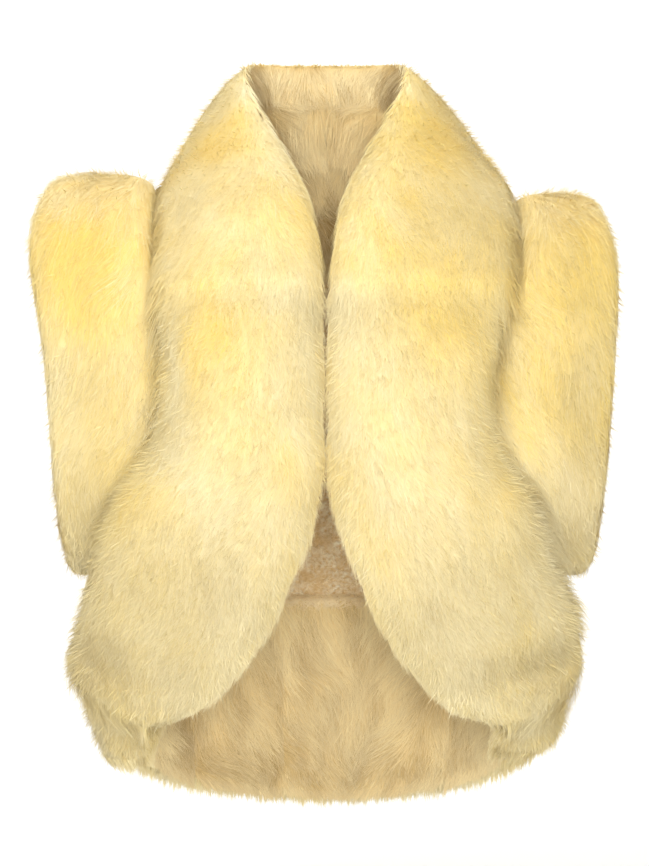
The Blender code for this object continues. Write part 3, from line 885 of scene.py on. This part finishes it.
# painted shade: darker fur low on the fronts, caps and underarm panels, at the caps' outer edges, along the
# fold at each front's end and where the panels meet, with some of the fur's own beige tone low on the fronts;
# the negative ones are painted light over the shade between cap and front, at the top of the collar and at
# the middle of the front
shadePatches = table(
    "x z reachX reachZ amount",
    (-225, -420, 40, 60, 530), (200, -455, 60, 40, 400), (-222, -290, 36, 50, 700), (222, -300, 36, 60, 550),
    (-155, -445, 60, 40, 640), (150, -400, 70, 60, 250), (230, -225, 30, 60, 250), (205, -60, 30, 60, 100),
    (-128, -350, 80, 70, 520), (130, -345, 80, 70, 350), (232, -50, 42, 70, 500), (228, -165, 38, 60, 560),
    (-205, -165, 45, 55, 400), (-78, 53, 40, 40, -200), (-158, -120, 22, 90, -150),
    (-145, -500, 25, 30, 400), (150, -500, 25, 30, 500), (-200, -490, 40, 25, 120), (85, -20, 70, 50, 180),
    (88, 60, 40, 40, 160), (200, -490, 40, 25, 60),
    (-262, -60, 22, 70, 420), (246, -130, 22, 60, 250), (242, -240, 26, 60, 380), (-225, -235, 30, 40, 260),
    (-75, -365, 50, 50, 320), (-140, -412, 50, 32, 280), (78, -372, 40, 50, 360), (108, -425, 42, 34, 380),
    (95, -50, 50, 60, 150), (0, -150, 30, 70, -250),
    (130, -436, 18, 9, 300), (160, -426, 18, 9, 350), (190, -414, 18, 9, 400), (218, -402, 14, 10, 450),
)
tanPatches = table(  # dark tufts inside, at the neck, the hem and its seams, and painted shade that deepens down into the neck and over the inside of the hem; the negative ones are painted light
    "x z reachX reachZ amount",
    (-44, 70, 7, 22, 700), (2, -2, 5, 40, 500), (-24, 20, 7, 30, 300), (26, 15, 6, 30, 300),
    (0, -25, 34, 30, 680),
    (-135, -498, 9, 20, 700), (-46, -480, 4, 60, 450), (122, -485, 5, 36, 600), (-140, -470, 5, 60, 400),
    (0, -330, 60, 30, 60), (0, 125, 120, 12, 60), (0, 104, 60, 14, 230),
    (0, 60, 60, 30, -60), (0, -470, 150, 60, 170),
    (-100, -528, 70, 24, 420), (0, -536, 80, 24, 260), (80, -532, 50, 22, 260),
)


patchFade = {"span": 60 * mm, "outside": 40 * mm, "inside": 400 * mm}  # the patches end at these depths in Y


# the sum of soft round patches that lie in front of a depth in Y
def patchSum(patches, point, where):
    offX = (point[:, 0, None] - patches["x"]) / patches["reachX"]
    offZ = (point[:, 2, None] - patches["z"]) / patches["reachZ"]
    front = ramp(point[:, 1], patchFade[where], -patchFade["span"])
    return (patches["amount"] * np.exp(-(offX**2) - offZ**2)).sum(axis=-1) * front


# a base plus waves of soft noise: each wave's amount, its size in millimetres, seed and stretch along Z
def noiseSum(point, base, *waves):
    for amount, size, seed, stretch in waves:
        base = base + amount * softNoise(point * np.array([1, 1, 1 / stretch]), size * mm, seed)
    return base


# Coats: dye, shade and tone as a base with waves of noise, the spread of each from hair to hair, the patches
# of dye and of shade (the shade patches mostly painted shade), and how much paler the hair is towards the top
# of the collar
outerCoat = {
    "dye": (0.30, (0.16, 130, 11, 1), (0.10, 38, 12, 1)),
    "shade": (0.06, (0.06, 90, 13, 1), (0.05, 20, 14, 1)),
    "tone": (0.55, (0.2, 12, 15, 1)), "spread": (0.10, 0.08, 0.22), "where": "outside",
    "dyePatches": (dyePatches, 1.0), "shadePatches": (shadePatches, 0.58), "rimPale": 0.0,
}
innerCoat = {
    "dye": (0.45, (0.25, 70, 21, 1), (0.2, 16, 22, 4)), "shade": (0.12, (0.16, 22, 23, 4)),
    "tone": (0.55,), "spread": (0.15, 0.14, 0.28), "where": "inside",
    "dyePatches": (dyePatches, 0.0), "shadePatches": (tanPatches, 1.0), "rimPale": 0.5,
}
nubCoat = {  # the lining's curls: nubs of lighter and darker wool
    **innerCoat, "dye": (0.4, (0.25, 30, 43, 1)), "shade": (0.2, (0.3, 11, 41, 1), (0.12, 40, 42, 1)),
    "spread": (0.15, 0.15, 0.28), "rimPale": 0.0,
}
rimStart, rimSpan = 95 * mm, 30 * mm


# a coat as a function of place; spread is three draws a hair, round 0, and tint the shade its panel and layer
# add, most of it painted shade
def coatOf(look):
    def patched(key, point):
        patches, share = look[key]
        return share * patchSum(patches, point, look["where"]) if share else 0.0

    def coat(point, spread, tint):
        dye, shade, tone = (noiseSum(point, *look[key]) for key in ("dye", "shade", "tone"))
        dye = dye + patched("dyePatches", point) - look["rimPale"] * ramp(point[:, 2], rimStart, rimSpan)
        shade = shade + tint + patched("shadePatches", point)
        levels = zip(("dye", "shade", "tone"), (dye, shade, tone), look["spread"], spread.T)
        return {key: level + reach * draw for key, level, reach, draw in levels}

    return coat


furCoat, tanCoat, curlCoat = (coatOf(look) for look in (outerCoat, innerCoat, nubCoat))


# Pelts with their hair

woolShare = 0.5  # height of the pelt's own wool above the hide, as a share of the pile
longHair = {
    "joints": 2, "length": 34 * mm, "width": 0.65 * mm, "bendWidth": 0.85, "rootShare": 0.3, "footShare": 1.0,
    "bendShare": 0.07, "sway": 0.28, "swaySize": 90 * mm, "ruffle": 0.16, "lock": 11 * mm,
    "gather": 0.2, "stand": 0.7 * mm, "lockStand": 1.0 * mm, "strays": 0.03, "strayStand": 5 * mm,
    "sideFluff": 0.0, "sidePaintedShade": 0.0,  # more stand for strays, and more painted shade, where fur faces a side
    "sink": 2 * mm, "droop": 0.4, "roll": 0.12, "softness": 7.0, "upright": False, "tint": 0.0,
}
fineHair = {
    **longHair, "joints": 1, "length": 23 * mm, "width": 0.55 * mm, "rootShare": 0.15, "ruffle": 0.22,
    "gather": 0.16, "sink": 1.6 * mm, "strays": 0.02, "strayStand": 4 * mm,
}
footHair = {  # spikes that hang from a cut edge
    **fineHair, "length": 5 * mm, "width": 0.8 * mm, "rootShare": 0.4, "lock": 4 * mm, "gather": 0.7,
    "upright": True, "ruffle": 0.3, "stand": 0.8 * mm, "sink": 0.0, "strays": 1.0, "strayStand": 17 * mm,
    "softness": 0.5,
}
haloHair = {  # short hairs that stand off the surface and blur its outline; a little painted shade darkens them, more where they face a side
    **fineHair, "length": 9 * mm, "width": 0.75 * mm, "rootShare": 0.1, "lock": 4.5 * mm, "gather": 0.5,
    "ruffle": 0.5, "stand": 0.8 * mm, "sink": 0.5 * mm, "strays": 1.0, "strayStand": 7.5 * mm,
    "sideFluff": 0.4, "sidePaintedShade": 0.3, "tint": 0.08, "softness": 0.0,
}


# flow towards an edge: none in the middle, growing past reach to full at the edges
def edgeLean(turn, reach=0.5):
    return np.sign(turn) * ramp(np.abs(turn), reach, 1 - reach)


# spare lengths of hair past a panel's four edges, from millimetres
def spareOf(*sizes):
    return {name: size * mm for name, size in zip(edgeNames, sizes)}


# a closed pelt from the hide to the top of its wool, suede inside and wool outside; short of a bare foot
def makePelt(name, skin, node, outside=wool, inside=suede, share=woolShare):
    rows = len(skin["tips"]) - 2 * ("foot" in skin.get("bare", ()))
    tips, hide = (skin[key][:rows:2, ::2] for key in ("tips", "hide"))
    top = hide + (tips - hide) * share
    rings = np.concatenate([top, hide[:, ::-1]], axis=1)
    piece = ringMesh(name, rings, [outside, inside], split=top.shape[1])
    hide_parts(node)
    return piece


bandLook = {
    "collar": {
        "rows": 101, "long": 13000, "fine": 36000, "halo": 8000, "haloStand": 4 * mm, "sideFluff": 1.6,
        "flat": (0.20, 0.30), "under": 0.0, "rootDepth": 0.4, "lap": 8 * mm, "seed": 100,
        "spare": spareOf(6, 45, 12, 24),
    },
    "front": {
        "rows": 121, "long": 16000, "fine": 44000, "halo": 12000, "haloStand": 7 * mm, "sideFluff": 0.0,
        "flat": (0.20, 0.40), "under": 0.2, "rootDepth": 1.0, "lap": 4 * mm, "seed": 110,
        "spare": spareOf(4, 8, 10, 20),
        "paintedSeamShadow": {"left": 0.16, "right": 0.12}, "paintedSeamShadowAt": 26 * mm, "paintedSeamShadowWidth": 9 * mm,
    },
}
bandComb = {  # ramps are given as their start and span
    "columns": 41, "along": 0.7, "alongFrom": (1.5, 3), "alongTo": (16, -4),
    "lean": (0.12, 0.3), "edgeLean": (0.7, 0.8),  # on the seam's half and on the roll's
    "neckLean": 0.5, "neckTo": (5, -2), "outer": (-0.9, 0.6),
    "lastLift": 0.8, "lastLiftFrom": 3, "footLift": 0.25,
}


# the collar and front of one side, combed down, along the band and out to its edges
def makeBand(side, number):
    seam, share = cut["peltSeam"], cut["seamShare"]
    stretches = {"collar": (0, seam - share), "front": (seam + share, cut["bandEnd"])}
    for part, (first, last) in stretches.items():
        look = bandLook[part]
        node = part + "_" + side
        skin = bandSkin(side, first, last, look["rows"], bandComb["columns"])
        pelt = makePelt(node + "_pelt", skin, node)
        skin["bare"] = ("first",)  # no smooth lap past the roll
        if look["under"]:  # hair that starts under the collar's, so that the seam doesn't show as a line
            skin = bandSkin(side, first - look["under"], last, look["rows"], bandComb["columns"])
            past = lengthOf(skin["tips"] - skin["tips"][:1]) - look["paintedSeamShadowAt"]
            skin["bare"] = ("top",)
            # painted shadow along the pelt seam, in a narrow band on the front's hair
            skin["tint"] = look["paintedSeamShadow"][side] * np.exp(-((past / look["paintedSeamShadowWidth"]) ** 2))
        at, turn = skin["at"], skin["turn"]
        combed = bandComb["along"] * unit(stepOf(skin["tips"], 0))
        combed = combed * (ramp(at, *bandComb["alongFrom"]) * ramp(at, *bandComb["alongTo"]))[:, None, None]
        outer = turn > 0
        lean = np.where(outer, *bandComb["lean"]) + np.where(outer, *bandComb["edgeLean"]) * edgeLean(turn)
        neck = bandComb["neckLean"] * ramp(at, *bandComb["neckTo"])
        lean = lean[None, :] + neck[:, None] * ramp(turn, *bandComb["outer"])[None, :]
        skin["flow"] = down + combed + unit(stepOf(skin["tips"], 1)) * lean[..., None]
        skin["spare"] = look["spare"]
        skin["lastLift"] = bandComb["lastLift"] * np.clip(at / bandComb["lastLiftFrom"] - 1, 0, 1)
        skin["footLift"] = bandComb["footLift"]
        skin["lap"] = {"last": look["lap"]}
        skin["seed"] = look["seed"] + number
        halo = {**haloHair, "strayStand": look["haloStand"], "sideFluff": look["sideFluff"]}
        deep = look["rootDepth"]
        long, fine = ({**kind, "rootShare": kind["rootShare"] * deep} for kind in (longHair, fineHair))
        layers = ((long, look["long"]), (fine, look["fine"]), (halo, look["halo"]))
        hair = growHair(node + "_hair", skin, layers, furCoat, fur, node)


backLook = {
    "rows": 111, "columns": 81, "lean": 0.6, "leanFrom": 0.7, "spare": spareOf(6, -4, 10, 10), "seed": 120,
    "lap": 12 * mm, "shoulderLap": 14 * mm, "shoulder": (-110 * mm, 30 * mm), "hemRows": 3, "hemSeed": 121,
    "layers": ((longHair, 16000), (fineHair, 42000), (haloHair, 12000)), "hem": ((footHair, 8000),),
}


# lap of the back's wool at its sides: straight on, and at the shoulders also outward, which closes the gap
# to the cap
def shoulderLap(rim, onward):
    high = ramp(rim[..., 2:], *backLook["shoulder"])
    outward = np.sign(rim[..., :1]) * np.array([1.0, 0, 0])
    return onward * backLook["lap"] + outward * high * backLook["shoulderLap"]


# the back, combed down and out to its edges
def makeBack():
    look = backLook
    skin = backSkin(look["rows"], look["columns"])
    lean = look["lean"] * edgeLean(skin["turn"], look["leanFrom"])
    skin["flow"] = down + unit(stepOf(skin["tips"], 1)) * lean[None, :, None]
    skin["bare"] = ("top", "foot")
    skin["lap"] = {"first": shoulderLap, "last": shoulderLap}
    skin["spare"], skin["seed"] = look["spare"], look["seed"]
    pelt = makePelt("back_pelt", skin, "back")
    hair = growHair("back_hair", skin, look["layers"], furCoat, fur, "back")
    foot = footSkin(skin, look["hemRows"], look["hemSeed"])
    hem = growHair("back_hem_hair", foot, look["hem"], furCoat, fur, "back")


sideLook = {
    "rows": 51, "columns": 41, "lean": 0.2, "edgeLean": 0.3, "leanFrom": 0.6, "spare": spareOf(4, 9, 8, 12),
    "lap": {"top": 16 * mm, "first": 8 * mm}, "tint": 0.3, "seed": 130, "hemRows": 4, "hemSeed": 135,
    "layers": (({**longHair, "length": 28 * mm}, 5000), (fineHair, 12000), (haloHair, 5000)),
    "hem": ((footHair, 2500),),
}


# an underarm panel, combed down and out to its edges, darker towards its free end: painted shade under the
# end of the front
def makeSide(side, number):
    look, node = sideLook, "side_" + side
    skin = sideSkin(side, look["rows"], look["columns"])
    turn = skin["turn"]
    lean = look["lean"] * turn + look["edgeLean"] * edgeLean(turn, look["leanFrom"])
    skin["flow"] = down + unit(stepOf(skin["tips"], 1)) * lean[None, :, None]
    skin["bare"] = ("foot",)
    skin["tint"] = np.broadcast_to(look["tint"] * np.clip(turn * 2 - 1, 0, 1), skin["depth"].shape)
    skin["spare"], skin["lap"], skin["seed"] = look["spare"], look["lap"], look["seed"] + number
    pelt = makePelt(node + "_pelt", skin, node)
    hair = growHair(node + "_hair", skin, look["layers"], furCoat, fur, node)
    foot = footSkin(skin, look["hemRows"], look["hemSeed"] + number)
    hem = growHair(node + "_hem_hair", foot, look["hem"], furCoat, fur, node)


capLook = {
    "rings": 160, "columns": 64, "peltRings": 64, "peltColumns": 32, "inset": 12 * mm,
    "lean": 0.35, "seed": 140,
    "layers": ((longHair, 12000), (fineHair, 32000), (haloHair, 10000)),
}


# a cap, combed down and outward, over a ring of wool that lies inside its fur
def makeCap(side, number):
    look, node = capLook, "cap_" + side
    skin = capSkin(side, look["rings"], look["columns"])
    skin["flow"] = down + np.array([look["lean"] * sides[side], 0, 0]) + 0.0 * skin["tips"]
    skin["seed"] = look["seed"] + number
    core = capSkin(side, look["peltRings"], look["peltColumns"], look["inset"])["tips"]
    pelt = ringMesh(node + "_pelt", core, [wool], closed=True)
    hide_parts(node)
    hair = growHair(node + "_hair", skin, look["layers"], furCoat, fur, node)


for number, side in enumerate(sides):
    makeBand(side, number)
    makeCap(side, number)
    makeSide(side, number)
makeBack()
print("vest: pelts and their hair grown")


# Facings and lining

facingHair = {
    **longHair, "length": 30 * mm, "width": 0.75 * mm, "rootShare": 0.6, "bendShare": 0.2, "stand": 1.5 * mm,
    "lockStand": 2 * mm, "lock": 9 * mm, "gather": 0.4, "sway": 0.5, "swaySize": 60 * mm, "softness": 4.0,
    "sink": 0.5 * mm,
}
facingFine = {
    **facingHair, "joints": 1, "length": 22 * mm, "width": 0.6 * mm, "rootShare": 0.35, "ruffle": 0.25,
}
facingFringe = {  # locks that hang at the hem
    **facingFine, "footShare": 0.08, "length": 28 * mm, "width": 1.0 * mm, "lock": 5 * mm, "gather": 0.75,
    "upright": True, "stand": 2 * mm, "sway": 0.2,
}
curlHair = {
    **facingFine, "length": 6 * mm, "width": 0.8 * mm, "rootShare": 0.6, "lock": 4.5 * mm, "gather": 0.9,
    "ruffle": 3.0, "stand": 0.8 * mm, "lockStand": 2.5 * mm, "softness": 1.5,
}
tuftHair = {  # curls over the seam between the lining and the hem facing, made paler by painted light
    **curlHair, "length": 10 * mm, "width": 1.0 * mm, "lock": 8 * mm, "gather": 0.6, "ruffle": 1.2,
    "stand": 1 * mm, "lockStand": 1.5 * mm, "softness": 4.0, "tint": -0.4,
}
facingPile, facingWool = 13 * mm, 0.45
# the grid of the back's form that layers lie on, and how far and from where their hair leans to the middle
layerForm = {"rows": 27, "columns": 25, "inward": 0.35, "inwardReach": 60 * mm}
backForm = backSkin(layerForm["rows"], layerForm["columns"])


# rows of that form's grid at row numbers of the back's table, and columns at shares of its turn
def rowsOf(first, last, count):
    return np.linspace(first, last, count) * ((layerForm["rows"] - 1) / (len(back["pile"]) - 1))


def columnsOf(first, last, count):
    return (np.linspace(first, last, count) + 1) / 2 * (layerForm["columns"] - 1)


# hair combed down and in towards the middle
def comb(skin, seed, spare):
    x = skin["tips"][..., :1]
    inward = -np.sign(x) * np.minimum(np.abs(x) / layerForm["inwardReach"], 1)
    skin["flow"] = down + inward * np.array([layerForm["inward"], 0, 0])
    skin["spare"], skin["seed"] = spareOf(*spare), seed
    return skin


# a facing: its wool over suede, and hair on a surface of its own
def makeFacing(node, skin, hairSkin, layers):
    base = makePelt(node + "_wool", skin, node, tanWool, suede, facingWool)
    hair = growHair(node + "_hair", hairSkin, layers, tanCoat, tanFur, node)


collarFacing = {
    "collarRows": 21, "collarColumns": 13,  # of the collar's grid, which the next four are read from
    "rows": (0.1, 11, 41), "columns": (0.6, 11.4, 31), "hairRows": (0, 11, 41), "hairColumns": (1.4, 6.4, 25),
    "layers": ((facingHair, 4000), (facingFine, 8000)), "seed": 220, "spare": (6, 8, 8, 26),
}


# a collar facing, with hair that leads in from the roll; it returns the surface that the hair lies on
def makeCollarFacing(side, number):
    look = collarFacing
    last = cut["peltSeam"] - cut["seamShare"]
    collar = bandSkin(side, 0, last, look["collarRows"], look["collarColumns"])
    skin = layerSkin(collar, np.linspace(*look["rows"]), np.linspace(*look["columns"]), facingPile)
    rows = np.linspace(*look["hairRows"])
    surface = layerSkin(collar, rows, np.linspace(*look["hairColumns"]), facingPile, ("first", "last"))
    hairSkin = leadIn(surface, readGrid(collar["tips"], rows, 0 * rows))
    hairSkin = comb(hairSkin, look["seed"] + number, look["spare"])
    makeFacing("collar_facing_" + side, skin, hairSkin, look["layers"])
    return surface


neckFacing = {
    "rows": (0.06, 1.15, 31), "hairRows": (0.06, 1.25, 31), "columns": 61,
    "seed": 200, "spare": (6, 14, 6, 6),
    "layers": ((facingHair, 5000), (facingFine, 10000)),
    "riseRows": 14, "fadeFrom": 55 * mm, "fadeTo": 80 * mm, "leastFade": 0.1, "sink": 5 * mm, "ahead": 9 * mm,
}


# Adds rows over the top of the neck facing, up to the collar facing's surface, so that the hair of both makes
# one wall. They end a little inside the collar facing's pile, and fade out to the sides.
def raisedTop(skin, over):
    look, top = neckFacing, skin["tips"][0]
    column = np.nonzero(over["tips"][0, :, 1] < top[:, 1].max() - look["ahead"])[0][-1]
    line = over["tips"][:, column] - over["normals"][:, column] * look["sink"]
    line = line[:np.argmax(np.abs(line[:, 0])) + 1]
    reach = np.abs(top[:, 0])
    height = [np.interp(reach, np.abs(line[:, 0]), line[:, k]) for k in (1, 2)]
    way = np.stack([top[:, 0], *height], axis=-1) - top
    fade = (look["fadeTo"] - reach) / (look["fadeTo"] - look["fadeFrom"])
    way *= np.clip(fade, look["leastFade"], 1)[:, None]
    count = look["riseRows"]
    share = np.linspace(1, 1 / count, count)[:, None, None]
    tips = np.concatenate([top + share * way, skin["tips"]])
    depth = np.concatenate([np.repeat(skin["depth"][:1], count, axis=0), skin["depth"]])
    inward = normalsOf(tips)
    inward = inward * np.sign((inward[count:] * skin["normals"]).sum())
    return {"tips": tips, "normals": inward, "depth": depth}


# long hair inside the upper back, up to the collar facing's surface
def makeNeckFacing(over):
    look = neckFacing
    columns = columnsOf(-cut["layerEdge"], cut["layerEdge"], look["columns"])
    skin = layerSkin(backForm, rowsOf(*look["rows"]), columns, facingPile)
    hairSkin = layerSkin(backForm, rowsOf(*look["hairRows"]), columns, facingPile, ("foot",))
    hairSkin = comb(raisedTop(hairSkin, over), look["seed"], look["spare"])
    makeFacing("neck_facing", skin, hairSkin, look["layers"])


hemFacing = {
    "rows": (6.55, 9.7, 61), "hairRows": (6.45, 9.9, 61), "columns": 31, "seed": 210, "spare": (8, 15, 5, 5),
    "layers": ((facingHair, 13000), (facingFine, 26000), (facingFringe, 8000)),  # over the whole hem
    "footLift": 0.25,
}


# the strips of the hem facing between its seams; each has its share of the hair
def makeHemFacing():
    look, edge, gap = hemFacing, cut["layerEdge"], cut["stripGap"]
    edges = (-edge, *cut["hemSeams"], edge)
    for number, (first, last) in enumerate(zip(edges, edges[1:])):
        columns = columnsOf(first + gap, last - gap, look["columns"])
        skin = layerSkin(backForm, rowsOf(*look["rows"]), columns, facingPile)
        columns = columnsOf(first, last, look["columns"])
        hairSkin = layerSkin(backForm, rowsOf(*look["hairRows"]), columns, facingPile, ("foot",))
        hairSkin["bare"] = ("foot",)
        hairSkin["footLift"] = look["footLift"]
        share = (last - first) / (2 * edge)
        layers = [(kind, int(count * share)) for kind, count in look["layers"]]
        hairSkin = comb(hairSkin, look["seed"] + number, look["spare"])
        makeFacing(f"hem_facing_{number + 1}", skin, hairSkin, layers)


liningLook = {
    "rows": (1.17, 6.53, 161), "columns": 191, "pile": 5 * mm, "wool": 0.75, "nub": 0.3, "nubSize": 9 * mm,
    "curls": ((curlHair, 25000),), "seed": 230, "spare": (2, 4, 2, 2),
    "tuftRows": (6.34, 6.64, 9), "tuftColumns": 101, "tuftPile": 8 * mm,
    "tufts": ((tuftHair, 6000),), "tuftSeed": 231, "tuftSpare": (4, 4, 2, 2),
}


# the curled lining: a bed of nubs, short curls that stand out of it, and tufts over its lower seam
def makeLining():
    look, node, edge = liningLook, "back_lining", cut["layerEdge"]
    skin = layerSkin(backForm, rowsOf(*look["rows"]), columnsOf(-edge, edge, look["columns"]), look["pile"])
    nub = look["nub"] * softNoise(skin["tips"], look["nubSize"], 31) * look["pile"]
    skin["tips"] = skin["tips"] + skin["normals"] * nub[..., None]
    bed = makePelt(node + "_bed", skin, node, curls, suede, look["wool"])
    skin = comb(skin, look["seed"], look["spare"])
    columns = columnsOf(-edge, edge, look["tuftColumns"])
    tuftSkin = layerSkin(backForm, rowsOf(*look["tuftRows"]), columns, look["tuftPile"])
    tuftSkin = comb(tuftSkin, look["tuftSeed"], look["tuftSpare"])
    skin["bare"] = tuftSkin["bare"] = ("all",)
    hair = growHair(node + "_curls", skin, look["curls"], curlCoat, curlFur, node)
    tufts = growHair(node + "_tufts", tuftSkin, look["tufts"], curlCoat, curlFur, node)


surfaces = [makeCollarFacing(side, number) for number, side in enumerate(sides)]
makeNeckFacing(surfaces[-1])
makeHemFacing()
makeLining()
print("vest: facings and lining made")


# Studio: a pale floor that curves up behind, soft lights, and the camera level with the chest

chest = (0.0, 0.0, -0.25)
studio = {
    "floorZ": -0.66, "wallY": 2.6, "bendRadius": 1.0, "bendSteps": 24, "halfWidth": 5.0, "front": -6.0,
    "top": 5.0,
    "floorFinish": (0.9, 0.1, 0.0, 0.5, "FFFFFF"), "floorColour": (0.93, 0.93, 0.93, 1.0), "world": 0.55,
    "cameraAway": 3.5, "cameraX": -1.4 * mm, "cameraZ": -0.217, "lens": 156.4, "clipEnd": 50,
    "lights": {  # place, aim, size and power
        "keyLight": ((-1.6, -2.9, 2.4), chest, 2.4, 46.0),
        "fillLight": ((0.1, -4.4, -0.1), chest, 1.3, 106.0),
        "backdropLight": ((0.0, 0.9, 2.6), (0.0, 2.6, -0.2), 2.0, 48.0),
    },
}


# makes a finish clear on the backs of its faces, so that the wall hides nothing from behind
def clearBehind(finish, shader):
    behind = addNode(finish, "ShaderNodeNewGeometry")
    clear = addNode(finish, "ShaderNodeBsdfTransparent")
    both = addNode(finish, "ShaderNodeMixShader")
    sources = (behind.outputs["Backfacing"], shader.outputs["BSDF"], clear.outputs["BSDF"])
    for source, socket in zip(sources, both.inputs):
        feed(finish, source, socket)
    feed(finish, both.outputs["Shader"], finish.node_tree.nodes["Material Output"].inputs["Surface"])


# the floor's profile: flat, a quarter circle, then an upright wall, carried along X
def makeFloor():
    r, z, wall = studio["bendRadius"], studio["floorZ"], studio["wallY"]
    turn = np.linspace(0, pi / 2, studio["bendSteps"])
    y = np.concatenate([[studio["front"]], wall - r + r * np.sin(turn), [wall]])
    height = np.concatenate([[z], z + r - r * np.cos(turn), [studio["top"]]])
    x = np.array([-1, 1]) * studio["halfWidth"]
    points = np.stack(np.broadcast_arrays(x[None, :], y[:, None], height[:, None]), axis=-1).reshape(-1, 3)
    faces = np.arange(len(y) - 1)[:, None] * 2 + np.array([[0, 1, 3, 2]])
    mesh = bpy.data.meshes.new("floor")
    mesh.from_pydata(points.tolist(), [], faces.tolist())
    mesh.shade_smooth()
    finish, shader = newFinish("paleFloor", *studio["floorFinish"])
    shader.inputs["Base Color"].default_value = studio["floorColour"]
    clearBehind(finish, shader)
    mesh.materials.append(finish)
    floor = bpy.data.objects.new("floor", mesh)
    bpy.context.scene.collection.objects.link(floor)


# a square area light that looks from its place at its aim
def makeLight(name, place, aim, size, power):
    lamp = bpy.data.lights.new(name, "AREA")
    lamp.shape = "SQUARE"
    lamp.size = size
    lamp.energy = power
    light = bpy.data.objects.new(name, lamp)
    light.location = place
    light.rotation_mode = "QUATERNION"
    light.rotation_quaternion = (Vector(place) - Vector(aim)).to_track_quat("Z", "Y")
    bpy.context.scene.collection.objects.link(light)


makeFloor()
for name, values in studio["lights"].items():
    makeLight(name, *values)
world = bpy.data.worlds.new("studio")
world.use_nodes = True
world.node_tree.nodes["Background"].inputs["Color"].default_value = (1, 1, 1, 1)
world.node_tree.nodes["Background"].inputs["Strength"].default_value = studio["world"]
scene = bpy.context.scene
scene.world = world
scene.view_settings.view_transform = "Standard"

camera = bpy.data.cameras.new("camera")
camera.lens = studio["lens"]
camera.clip_end = studio["clipEnd"]
seat = bpy.data.objects.new("camera", camera)
seat.location = (studio["cameraX"], -studio["cameraAway"], studio["cameraZ"])
seat.rotation_euler = (pi / 2, 0, 0)
scene.collection.objects.link(seat)
scene.camera = seat
print("vest: studio set")
